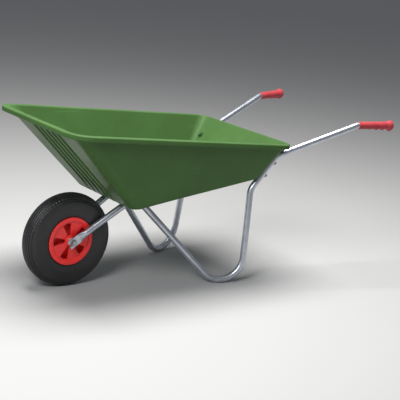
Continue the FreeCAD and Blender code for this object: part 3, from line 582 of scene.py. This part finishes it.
def rounded_corner(before, corner, after, radius, steps):
    """Points of an arc that rounds one corner of a path."""
    back = before - corner
    ahead = after - corner
    angle = back.angle(ahead)
    if angle > NEARLY_STRAIGHT:
        return [corner.copy() for _ in range(steps + 1)]
    reach = min(radius / math.tan(angle / 2), back.length * LONGEST_REACH,
                ahead.length * LONGEST_REACH)
    radius = reach * math.tan(angle / 2)
    start = corner + back.normalized() * reach
    middle = corner + (back.normalized() + ahead.normalized()).normalized() * (
        radius / math.sin(angle / 2))
    first = start - middle
    last = corner + ahead.normalized() * reach - middle
    sweep = first.angle(last)
    axis = first.cross(last).normalized()
    return [middle + Matrix.Rotation(sweep * i / steps, 3, axis) @ first
            for i in range(steps + 1)]


# ---------------------------------------------------------------- tray

# An outline has the x and z of its front and of its rear, and half its width and its
# corner radius at each of the two.
RIM = {"line": (-165.0, 629.0, 804.0, 546.0), "halves": (292.0, 300.0), "radii": (85.0, 60.0)}
FLOOR = {"line": (153.0, 320.0, 697.0, 410.0), "halves": (204.0, 232.0), "radii": (40.0, 22.0)}
LEAST_CORNER = 2.0
CORNER_STEPS = 14
SIDE_STEPS = 16

# Rings within the floor, as how far in they stand from its ends and from its sides.
BED_INSETS = ((150.0, 84.0), (90.0, 56.0), (42.0, 30.0))
CORNER_SHRINK = 38.0

# Shares of the height at which the walls have rings, from the top down.
WALL_STATIONS = (0.03, 0.07, 0.12, 0.2, 0.35, 0.5, 0.65, 0.78, 0.86, 0.92)

# Radii that round the section, in the order in which it is drawn.
BED_RADIUS = 10.5
MOUTH_RADIUS = 3.2
LIP_RADIUS = 3.6
LIP_EDGE_RADIUS = 1.4
LIP_ROOT_RADIUS = 1.8
WALL_TOP_RADIUS = 2.4
WALL_FOOT_RADIUS = 14.0
WIDE_RADIUS = 5.0
WIDE_STEPS = 6
TIGHT_STEPS = 4
BED_FRONT_SHARE = 0.6

# The flutes: the stretch of wall that holds them, half the run of a flute's sloping edge,
# the columns on that edge, and the columns beside the stretch.
FLUTED_HALF = 106.0
FLUTE_SLOPE = 2.6
EDGE_COLUMNS = (-1.3, -0.9, -0.45, 0.0, 0.45, 0.9, 1.3)
PLAIN_COLUMNS = 9
FLUTE_INWARD = Vector((0.72, 0.0, 0.694))
FADE_INSIDE = 0.16
FADE_OUTSIDE = 0.14

FLOOR_UP = Vector((-0.16322, 0.0, 0.98659))
WALL_OUT = Vector((0.8085, 0.0, -0.5885))
FRONT_SEAT = (240.93, 68.71, 331.0)
REAR_SEATS = ((707.12, 214.82, 436.65), (741.66, 221.39, 484.10))
PAD_RADIUS = 18.0
PAD_SPAN = (-0.7, 4.6)
RECESS_RADIUS = 13.0
RECESS_REACH = 16.0
WALL_BOSS_RADIUS = 13.0
WALL_BOSS_REACH = 5.6
BOSS_SEGMENTS = 48
TRAY_SHARP = 50.0


def front_columns(half, sizes):
    """Where the front wall's columns stand across, closest on the flutes' edges."""
    edge = sizes.flute_width / MM / 2
    inner = [-FLUTED_HALF, FLUTED_HALF]
    for i in range(sizes.flute_count):
        middle = (i - (sizes.flute_count - 1) / 2) * (sizes.flute_pitch / MM)
        inner.append(middle)
        inner += [middle + side * (edge + step * FLUTE_SLOPE)
                  for side in (-1, 1) for step in EDGE_COLUMNS]
    inner.sort()
    left = [-half + (half - FLUTED_HALF) * i / PLAIN_COLUMNS for i in range(1, PLAIN_COLUMNS)]
    return left + inner + [-y for y in reversed(left)]


def flute_share(y, sizes):
    """How far a flute has sunk at this distance across, from 0 to 1."""
    pitch = sizes.flute_pitch / MM
    outermost = (sizes.flute_count - 1) / 2
    nearest = max(-outermost, min(outermost, round(y / pitch)))
    edge = sizes.flute_width / MM / 2
    return smooth((edge + FLUTE_SLOPE - abs(y - nearest * pitch)) / (2 * FLUTE_SLOPE))


def tray_ring(shape, lift, inset, shrink, sizes):
    """A rounded outline in a plane that slopes from the front of the tray to its rear."""
    front_x, front_z, rear_x, rear_z = shape["line"]
    run = Vector((rear_x - front_x, 0, rear_z - front_z))
    along = run.normalized()
    normal = along.cross(Vector((0, 1, 0)))
    if normal.z < 0:
        normal = -normal
    front_in, side_in, rear_in = inset
    front_half, rear_half = (half - side_in for half in shape["halves"])
    front_radius, rear_radius = (max(LEAST_CORNER, radius - shrink)
                                 for radius in shape["radii"])
    rear_u = run.length - rear_in
    corners = [Vector((front_in, -front_half, 0)), Vector((rear_u, -rear_half, 0)),
               Vector((rear_u, rear_half, 0)), Vector((front_in, front_half, 0))]
    radii = [front_radius, rear_radius, rear_radius, front_radius]
    arcs = [rounded_corner(corners[i - 1], corners[i], corners[(i + 1) % 4], radii[i],
                           CORNER_STEPS) for i in range(4)]
    flat = []
    for arc, following in zip(arcs, arcs[1:]):
        flat += arc
        flat += [arc[-1].lerp(following[0], step / SIDE_STEPS)
                 for step in range(1, SIDE_STEPS)]
    flat += arcs[-1]
    columns = front_columns(arcs[-1][-1].y, sizes)
    flat += [Vector((front_in, y, 0)) for y in reversed(columns)]
    base = Vector((front_x, 0, front_z)) + normal * lift
    return [base + along * p.x + Vector((0, p.y, 0)) for p in flat]


def tray_section(sizes):
    """Rings, each with a radius that rounds the section there, or 0: from the middle of the
    floor inside, up the walls, over the lip and back under the floor."""
    wall = sizes.wall / MM
    drop = sizes.lip_drop / MM
    width = sizes.lip_width / MM
    rear = sizes.rear_lip_width / MM
    edge = (0.0, 0.0, 0.0)
    skin = (wall, wall, wall)
    inward = FLUTE_INWARD * (sizes.flute_depth / MM)

    def rim(lift, inset, shrink):
        return tray_ring(RIM, lift, inset, shrink, sizes)

    def floor(lift, inset, shrink):
        return tray_ring(FLOOR, lift, inset, shrink, sizes)

    def bed_rings(lift, insets):
        return [(floor(lift, (end_in, side_in, end_in), CORNER_SHRINK), 0.0)
                for end_in, side_in in insets]

    mouth = rim(0.0, (width + wall, width + wall, rear + wall), width + wall)
    bed = floor(wall, (wall * BED_FRONT_SHARE, wall, wall), wall)
    wall_top = rim(-wall, (width, width, rear), width)
    wall_foot = floor(0.0, edge, 0.0)
    fluted_from = len(mouth) - len(front_columns(FLUTED_HALF, sizes))

    def sink(points, amount):
        return points[:fluted_from] + [p + inward * (flute_share(p.y, sizes) * amount)
                                       for p in points[fluted_from:]]

    def wall_ring(a, b, share, amount):
        return sink([p.lerp(q, share) for p, q in zip(a, b)], amount), 0.0

    rings = bed_rings(wall, BED_INSETS)
    rings.append((bed, BED_RADIUS))
    for s in reversed(WALL_STATIONS):
        fade = smooth(s / FADE_INSIDE) * smooth((1 - s) / FADE_INSIDE)
        rings.append(wall_ring(bed, mouth, 1 - s, fade))
    rings.append((mouth, MOUTH_RADIUS))
    rings.append((rim(0.0, edge, 0.0), LIP_RADIUS))
    rings.append((rim(-drop, edge, 0.0), LIP_EDGE_RADIUS))
    rings.append((rim(-drop, skin, wall), LIP_EDGE_RADIUS))
    rings.append((rim(-wall, skin, wall), LIP_ROOT_RADIUS))
    rings.append((sink(wall_top, 1.0), WALL_TOP_RADIUS))
    for s in WALL_STATIONS:
        rings.append(wall_ring(wall_top, wall_foot, s, smooth((1 - s) / FADE_OUTSIDE)))
    rings.append((wall_foot, WALL_FOOT_RADIUS))
    return rings + bed_rings(0.0, reversed(BED_INSETS))


def rounded_section(path, radii):
    """One column of the tray, from ring to ring, with its corners rounded."""
    column = []
    for k, (point, radius) in enumerate(zip(path, radii)):
        if radius > 0:
            steps = WIDE_STEPS if radius > WIDE_RADIUS else TIGHT_STEPS
            column += rounded_corner(path[k - 1], point, path[k + 1], radius, steps)
        else:
            column.append(point)
    return column


def carve(piece, operation, foot, axis, radius, height):
    """Join a short round boss to a piece, or sink one into it; places in millimetres."""
    rod = bmesh.new()
    bmesh.ops.create_cone(rod, cap_ends=True, segments=BOSS_SEGMENTS, radius1=radius * MM,
                          radius2=radius * MM, depth=height * MM)
    turn = axis.to_track_quat("Z", "Y").to_matrix().to_4x4()
    place = Matrix.Translation(at(*(foot + axis * (height / 2))))
    bmesh.ops.transform(rod, matrix=place @ turn, verts=rod.verts)
    mesh = bpy.data.meshes.new("carving")
    rod.to_mesh(mesh)
    rod.free()
    boss = bpy.data.objects.new("carving", mesh)
    bpy.context.scene.collection.objects.link(boss)
    step = piece.modifiers.new("carving", "BOOLEAN")
    step.operation = operation
    step.solver = "EXACT"
    step.object = boss
    bpy.context.view_layer.update()
    carved = bpy.data.meshes.new_from_object(
        piece.evaluated_get(bpy.context.evaluated_depsgraph_get()))
    piece.modifiers.clear()
    before = piece.data
    if len(carved.polygons) < len(before.polygons) // 2:
        raise ValueError("the carving left too little of " + piece.name)
    name = before.name
    piece.data = carved
    bpy.data.meshes.remove(before)
    carved.name = name
    bpy.data.objects.remove(boss)
    bpy.data.meshes.remove(mesh)


def seat_bolts(tray):
    """Raise the pads, sink the front bolts' recesses and add the rear wall's bosses."""
    for side in (-1, 1):
        x, y, z = FRONT_SEAT
        seat = Vector((x, y * side, z))
        carve(tray, "UNION", seat + FLOOR_UP * PAD_SPAN[0], FLOOR_UP, PAD_RADIUS,
              PAD_SPAN[1] - PAD_SPAN[0])
        carve(tray, "DIFFERENCE", seat, FLOOR_UP, RECESS_RADIUS, RECESS_REACH)
        for x, y, z in REAR_SEATS:
            carve(tray, "UNION", Vector((x, y * side, z)), WALL_OUT, WALL_BOSS_RADIUS,
                  WALL_BOSS_REACH)


def build_tray():
    rings, radii = zip(*tray_section(settings().barrow_tray))
    columns = [rounded_section(path, radii) for path in zip(*rings)]
    shell = Shell()
    ends = shell.loft([at(*point) for point in ring] for ring in zip(*columns))
    for ring in ends:
        shell.cap(ring)
    tray = new_piece("tray_moulding", shell, "tray_green_plastic", "frame",
                     "tray", TRAY_SHARP)
    seat_bolts(tray)
    tray.data.set_sharp_from_angle(angle=math.radians(TRAY_SHARP))


# ---------------------------------------------------------------- wheel

# Points are a radius from the axle and a distance across from the wheel's middle.
TYRE_INSIDE = ((84.4, -21.0), (94.0, -21.0), (104.0, -27.5), (122.0, -32.0), (145.0, -32.0),
               (159.0, -26.5), (167.0, -15.0), (168.0, 0.0), (167.0, 15.0), (159.0, 26.5),
               (145.0, 32.0), (122.0, 32.0), (104.0, 27.5), (94.0, 21.0), (84.4, 21.0))
FINE_FROM = 140.0
COARSE_STEPS = 3
FINE_STEPS = 8

TREAD_FROM = 150.0
TREAD_LINES = (0.0, 8.5, 17.0, 25.0, 31.5)
GROOVE_EDGE = 0.55

SHOULDER_FROM = 146.0
SHOULDER_RUN = 6.0
NOTCH_BAND = (25.6, 36.0)
NOTCH_RUN = 2.0
NOTCH_DEPTH = 1.3
NOTCH_STEPS = 5

# Thin ribs round the sidewall: radius, width and height.
SIDE_RIBS = ((97.0, 1.1, 0.7), (145.0, 1.0, 0.6))
TYRE_SHARP = 40.0


def tyre_outline():
    """Outside of the tyre, from one bead over the crown to the other."""
    side = TYRE_HALF_WIDTH / MM
    crown = TYRE_RADIUS / MM
    anchors = [(84.4, 30.4), (89.6, 32.0), (93.0, 34.2), (97.5, 36.4), (104.0, 37.9),
               (114.0, side), (128.0, side), (139.0, side - 0.5), (147.0, side - 1.7),
               (154.0, side - 4.2), (160.5, side - 8.2), (166.0, side - 13.4),
               (170.5, side - 20.0), (173.4, side - 27.0), (crown - 0.3, side - 33.5),
               (crown, 0.0)]
    half = [Vector((radius, across, 0)) for radius, across in anchors]
    past_crown = Vector((half[-2].x, -half[-2].y, 0))
    padded = [half[0], *half, past_crown]
    curve = []
    for before, a, b, after in zip(padded, padded[1:], padded[2:], padded[3:]):
        steps = COARSE_STEPS if b.x < FINE_FROM else FINE_STEPS
        for step in range(steps):
            t = step / steps
            t2, t3 = t * t, t * t * t
            curve.append(a * (2 * t3 - 3 * t2 + 1) + (b - before) * 0.5 * (t3 - 2 * t2 + t)
                         + b * (3 * t2 - 2 * t3) + (after - a) * 0.5 * (t3 - t2))
    curve.append(half[-1])
    return curve + [Vector((p.x, -p.y, 0)) for p in reversed(curve[:-1])]


def outward_normals(outline):
    last = len(outline) - 1
    normals = []
    for i in range(len(outline)):
        run = (outline[min(last, i + 1)] - outline[max(0, i - 1)]).normalized()
        normals.append(Vector((-run.y, run.x, 0)))
    if normals[len(normals) // 2].x < 0:
        normals = [-normal for normal in normals]
    return normals


def groove_depth(p, sizes):
    """Depth of the grooves that run round the tread."""
    if p.x < TREAD_FROM:
        return 0.0
    off = min(abs(abs(p.y) - line) for line in TREAD_LINES)
    half_width = sizes.groove_width / MM / 2
    return sizes.groove_depth / MM * smooth((half_width + GROOVE_EDGE - off)
                                            / (2 * GROOVE_EDGE))


def notch_depth(p):
    """Depth of a notch across the shoulder."""
    across = abs(p.y)
    if p.x <= SHOULDER_FROM or not NOTCH_BAND[0] < across < NOTCH_BAND[1]:
        return 0.0
    return (NOTCH_DEPTH * smooth((p.x - SHOULDER_FROM) / SHOULDER_RUN)
            * smooth((across - NOTCH_BAND[0]) / NOTCH_RUN))


def rib_height(p):
    return sum(math.exp(-((p.x - radius) / width) ** 2) * height
               for radius, width, height in SIDE_RIBS)


def build_tyre():
    sizes = settings().barrow_wheel
    steps = sizes.lug_count * NOTCH_STEPS
    turns = [math.tau * i / steps for i in range(steps)]

    def wheel_point(radius, across, turn):
        return at(radius * math.cos(turn), across, AXLE.z / MM + radius * math.sin(turn))

    outline = tyre_outline()
    rings = []
    for p, normal in zip(outline, outward_normals(outline)):
        groove = groove_depth(p, sizes)
        notch = notch_depth(p)
        points = []
        for i, turn in enumerate(turns):
            sunk = max(groove, notch) if i % NOTCH_STEPS == 0 else groove
            spot = p - normal * sunk + normal * rib_height(p)
            points.append(wheel_point(spot.x, spot.y, turn))
        rings.append(points)
    rings += [[wheel_point(radius, across, turn) for turn in turns]
              for radius, across in TYRE_INSIDE]
    shell = Shell()
    first, last = shell.loft(rings)
    shell.bridge(last, first)
    new_piece("tyre_treaded", shell, "tyre_black_rubber", "wheel", "tyre",
              TYRE_SHARP)


# ---------------------------------------------------------------- grips

HANDLE_BEND = (1105.0, 305.0, 613.0)
HANDLE_END = (1254.0, 342.0, 615.0)

GRIP_LENGTH = 152.0
GRIP_OVERHANG = 3.0
GRIP_RADIUS = 14.6
GRIP_SWELL = 0.6
GRIP_BORE = 12.62
GRIP_BORE_DEPTH = 148.5
GRIP_AROUND = 48
GRIP_STATIONS = 120
GRIP_SHARP = 50.0

# The rounded mouth, and the middle of the end, as radius and distance along.
GRIP_MOUTH = ((GRIP_BORE, 0.0), (13.6, 0.0), (14.2, 0.5), (14.55, 1.4))
GRIP_BUTTON = (3.0, 0.3)
GRIP_BUTTON_EDGE = (8.0, 0.15)
END_RUN = 5.2
END_DRAW_IN = 5.0
END_STEPS = 8
END_FADE = 6.0

# Shares of the grip's length where the flared end starts and over which it grows.
POMMEL_FROM = 0.80
POMMEL_RUN = 0.13

# Finger stops: share of the length, share of the height, and width.
FINGER_STOPS = ((0.32, 0.30, 6.0), (0.53, 0.85, 6.5), (0.71, 1.0, 6.5), (0.915, 1.0, 8.0))
STOP_STEEPNESS = 1.6
LOBE_POWER = 1.3


def grip_radius(s, sizes):
    body = GRIP_RADIUS + GRIP_SWELL * s / GRIP_LENGTH
    flare = smooth((s - POMMEL_FROM * GRIP_LENGTH) / (POMMEL_RUN * GRIP_LENGTH))
    return body + sizes.pommel_rise / MM * flare


def stop_height(s, sizes):
    """How far a finger stop stands down at this distance along."""
    heights = [0.0]
    for place, share, width in FINGER_STOPS:
        off = (s - place * GRIP_LENGTH) / width
        heights.append(sizes.finger_height / MM * share
                       * math.exp(-off * off * STOP_STEEPNESS))
    return max(heights)


def grip_sections(sizes):
    """Radius above, radius below and distance along, from the mouth to the closed end."""
    mouth_run = GRIP_MOUTH[-1][1]
    sections = [(radius, radius, s) for radius, s in GRIP_MOUTH]
    for i in range(1, GRIP_STATIONS):
        s = mouth_run + (GRIP_LENGTH - mouth_run - END_RUN) * i / GRIP_STATIONS
        radius = grip_radius(s, sizes)
        fade = smooth((GRIP_LENGTH - s) / END_FADE)
        sections.append((radius, radius + stop_height(s, sizes) * fade, s))
    last = grip_radius(GRIP_LENGTH, sizes)
    for i in range(1, END_STEPS + 1):
        turn = math.pi / 2 * i / END_STEPS
        radius = last - END_DRAW_IN * (1 - math.cos(turn))
        sections.append((radius, radius, GRIP_LENGTH - END_RUN + END_RUN * math.sin(turn)))
    inset, rise = GRIP_BUTTON_EDGE
    sections.append((last - inset, last - inset, GRIP_LENGTH + rise))
    radius, rise = GRIP_BUTTON
    sections.append((radius, radius, GRIP_LENGTH + rise))
    return sections


def build_grip(side, name, node):
    """One hand grip on the end of a handle, with its finger stops below."""
    bend = Vector(HANDLE_BEND)
    end = Vector(HANDLE_END)
    bend.y *= side
    end.y *= side
    along = (end - bend).normalized()
    start = end + along * (GRIP_OVERHANG - GRIP_LENGTH)
    level = along.cross(UP).normalized()
    upward = level.cross(along).normalized()

    def section_points(above, below, s):
        points = []
        for k in range(GRIP_AROUND):
            turn = math.tau * k / GRIP_AROUND
            lobe = max(0.0, -math.cos(turn)) ** LOBE_POWER * (below - above)
            spoke = upward * math.cos(turn) + level * math.sin(turn)
            points.append(at(*(start + along * s + spoke * (above + lobe))))
        return points

    shell = Shell()
    mouth, end_ring = shell.loft(
        section_points(*section) for section in grip_sections(settings().barrow_grip))
    shell.cap(end_ring)
    bottom = shell.ring(section_points(GRIP_BORE, GRIP_BORE, GRIP_BORE_DEPTH))
    shell.bridge(bottom, mouth)
    shell.cap(bottom)
    new_piece(name, shell, "grip_red_plastic", "frame", node, GRIP_SHARP)


# ---------------------------------------------------------------- frame parts that stay

KEPT = {
    "left_frame_tube": "galvanised_steel",
    "right_frame_tube": "galvanised_steel",
    "wheel_half_left": "wheel_red_plastic",
    "wheel_half_right": "wheel_red_plastic",
    "wheel_screws": "zinc_plate",
    "axle_bolt": "zinc_plate",
    "axle_nut": "zinc_plate",
    "axle_washers": "zinc_plate",
    "axle_spacer_left": "zinc_plate",
    "axle_spacer_right": "zinc_plate",
    "front_tray_bolts": "zinc_plate",
    "front_tray_washers": "zinc_plate",
    "front_tray_nuts": "zinc_plate",
    "rear_tray_bolts": "bolt_green_cap",
    "rear_tray_washers": "bolt_green_cap",
    "rear_tray_nuts": "zinc_plate",
    "hub_bush_left": "bush_nylon",
    "hub_bush_right": "bush_nylon",
    "inner_tube": "tube_rubber",
    "valve_stem": "valve_brass",
    "valve_cap": "cap_black_plastic",
}


def finish_kept():
    """Give the CAD nodes that stay their procedural materials."""
    for name, material in KEPT.items():
        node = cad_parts[name]
        if not node.material_slots:
            node.data.materials.append(None)
        for slot in node.material_slots:
            slot.link = "OBJECT"
            slot.material = MATERIALS[material]


# ---------------------------------------------------------------- stage

CAMERA_PLACE = Vector((-2.62436, -3.46358, 1.42680))
CAMERA_YAW = math.radians(37.7337)
CAMERA_PITCH = math.radians(14.7868)
CAMERA_ROLL = math.radians(5.3518)
SENSOR_WIDTH = 36.0
FAR_CLIP = 200.0

KEY_SOFTBOX = {"place": (-0.2, 0.05, 3.3), "target": (0.0, 0.0, 0.3), "size": (1.5, 2.2),
               "tint": (1.0, 0.99, 0.97)}
SIDE_SOFTBOX = {"place": (-2.3, -1.3, 2.2), "target": (-0.4, -0.1, 0.3), "size": (0.9, 0.9),
                "tint": (0.97, 0.98, 1.0)}
SKY_COLOUR = (0.90, 0.93, 1.0, 1.0)
FLOOR_CELLS = 8


def camera_turn():
    """The camera's rotation from its yaw, its pitch down and its roll."""
    ahead = Vector((math.sin(CAMERA_YAW) * math.cos(CAMERA_PITCH),
                    math.cos(CAMERA_YAW) * math.cos(CAMERA_PITCH), -math.sin(CAMERA_PITCH)))
    level = Vector((math.cos(CAMERA_YAW), -math.sin(CAMERA_YAW), 0))
    upright = level.cross(ahead)
    right = level * math.cos(CAMERA_ROLL) + upright * math.sin(CAMERA_ROLL)
    top = upright * math.cos(CAMERA_ROLL) - level * math.sin(CAMERA_ROLL)
    return Matrix((right, top, -ahead)).transposed().to_4x4()


def add_camera(lens):
    data = bpy.data.cameras.new("camera")
    data.lens = lens
    data.sensor_width = SENSOR_WIDTH
    data.clip_end = FAR_CLIP
    camera = bpy.data.objects.new("camera", data)
    camera.matrix_world = Matrix.Translation(CAMERA_PLACE) @ camera_turn()
    bpy.context.scene.collection.objects.link(camera)
    bpy.context.scene.camera = camera


def add_softbox(name, power, place, target, size, tint):
    data = bpy.data.lights.new(name, "AREA")
    data.shape = "RECTANGLE"
    data.size, data.size_y = size
    data.energy = power
    data.color = tint
    light = bpy.data.objects.new(name, data)
    light.location = place
    light.rotation_euler = (Vector(target) - Vector(place)).to_track_quat("-Z", "Y").to_euler()
    bpy.context.scene.collection.objects.link(light)


def add_floor(side):
    mesh = bpy.data.meshes.new("studio_floor")
    build = bmesh.new()
    bmesh.ops.create_grid(build, x_segments=FLOOR_CELLS, y_segments=FLOOR_CELLS,
                          size=side / 2)
    build.to_mesh(mesh)
    build.free()
    mesh.materials.append(MATERIALS["studio_floor"])
    floor = bpy.data.objects.new("studio_floor", mesh)
    bpy.context.scene.collection.objects.link(floor)


def add_sky(strength):
    world = bpy.data.worlds.new("studio")
    bpy.context.scene.world = world
    world.use_nodes = True
    background = world.node_tree.nodes["Background"]
    background.inputs["Color"].default_value = SKY_COLOUR
    background.inputs["Strength"].default_value = strength


# ---------------------------------------------------------------- operators

class WHEELBARROW_OT_materials(bpy.types.Operator):
    """Build the shared effects and every material"""
    bl_idname = "wheelbarrow.materials"
    bl_label = "Materials"

    def execute(self, context):
        build_materials()
        return {"FINISHED"}


class WHEELBARROW_OT_tray(bpy.types.Operator):
    """Build the moulded tray with its turned-down lip and fluted front wall"""
    bl_idname = "wheelbarrow.tray"
    bl_label = "Tray"

    def execute(self, context):
        build_tray()
        return {"FINISHED"}


class WHEELBARROW_OT_tyre(bpy.types.Operator):
    """Build the ribbed pneumatic tyre"""
    bl_idname = "wheelbarrow.tyre"
    bl_label = "Tyre"

    def execute(self, context):
        build_tyre()
        return {"FINISHED"}


class WHEELBARROW_OT_grips(bpy.types.Operator):
    """Build both hand grips with their finger stops"""
    bl_idname = "wheelbarrow.grips"
    bl_label = "Grips"

    def execute(self, context):
        build_grip(-1, "left_hand_grip", "left_grip")
        build_grip(1, "right_hand_grip", "right_grip")
        return {"FINISHED"}


class WHEELBARROW_OT_metalwork(bpy.types.Operator):
    """Finish the frame tubes, the wheel centre, the axle and the fixings"""
    bl_idname = "wheelbarrow.metalwork"
    bl_label = "Frame, wheel centre and fixings"

    def execute(self, context):
        finish_kept()
        return {"FINISHED"}


class WHEELBARROW_OT_stage(bpy.types.Operator):
    """Lay the floor, set the soft lights and place the camera"""
    bl_idname = "wheelbarrow.stage"
    bl_label = "Stage"

    def execute(self, context):
        stage = context.scene.barrow_stage
        add_floor(stage.floor_side)
        add_sky(stage.sky)
        add_softbox("key_softbox", stage.key_power, **KEY_SOFTBOX)
        add_softbox("side_softbox", stage.side_power, **SIDE_SOFTBOX)
        context.scene.view_settings.view_transform = "Standard"
        add_camera(stage.lens)
        return {"FINISHED"}


class WHEELBARROW_PT_panel(bpy.types.Panel):
    """Lists the sizes, the colours and the pieces of the wheelbarrow"""
    bl_idname = "WHEELBARROW_PT_panel"
    bl_label = "Wheelbarrow"
    bl_space_type = "VIEW_3D"
    bl_region_type = "UI"
    bl_category = "Wheelbarrow"

    def draw(self, context):
        for name in PROPERTY_GROUPS:
            box = self.layout.box()
            group = getattr(context.scene, name)
            for field in group.bl_rna.properties:
                if not field.is_readonly and field.identifier not in ("name", "rna_type"):
                    box.prop(group, field.identifier)
        for operator in OPERATORS:
            self.layout.operator(operator.bl_idname)


PROPERTY_GROUPS = {
    "barrow_tray": BarrowTraySizes,
    "barrow_wheel": BarrowWheelSizes,
    "barrow_grip": BarrowGripSizes,
    "barrow_colours": BarrowColours,
    "barrow_stage": BarrowStageSizes,
}

OPERATORS = (
    WHEELBARROW_OT_materials,
    WHEELBARROW_OT_tray,
    WHEELBARROW_OT_tyre,
    WHEELBARROW_OT_grips,
    WHEELBARROW_OT_metalwork,
    WHEELBARROW_OT_stage,
)


def register():
    for name, group in PROPERTY_GROUPS.items():
        bpy.utils.register_class(group)
        setattr(bpy.types.Scene, name, bpy.props.PointerProperty(type=group))
    for made in (*OPERATORS, WHEELBARROW_PT_panel):
        bpy.utils.register_class(made)


def unregister():
    for made in reversed((*OPERATORS, WHEELBARROW_PT_panel)):
        bpy.utils.unregister_class(made)
    for name, group in reversed(list(PROPERTY_GROUPS.items())):
        delattr(bpy.types.Scene, name)
        bpy.utils.unregister_class(group)


def main():
    register()
    bpy.ops.wheelbarrow.materials()
    bpy.ops.wheelbarrow.tray()
    bpy.ops.wheelbarrow.tyre()
    bpy.ops.wheelbarrow.grips()
    bpy.ops.wheelbarrow.metalwork()
    bpy.ops.wheelbarrow.stage()


if __name__ == "__main__":
    main()
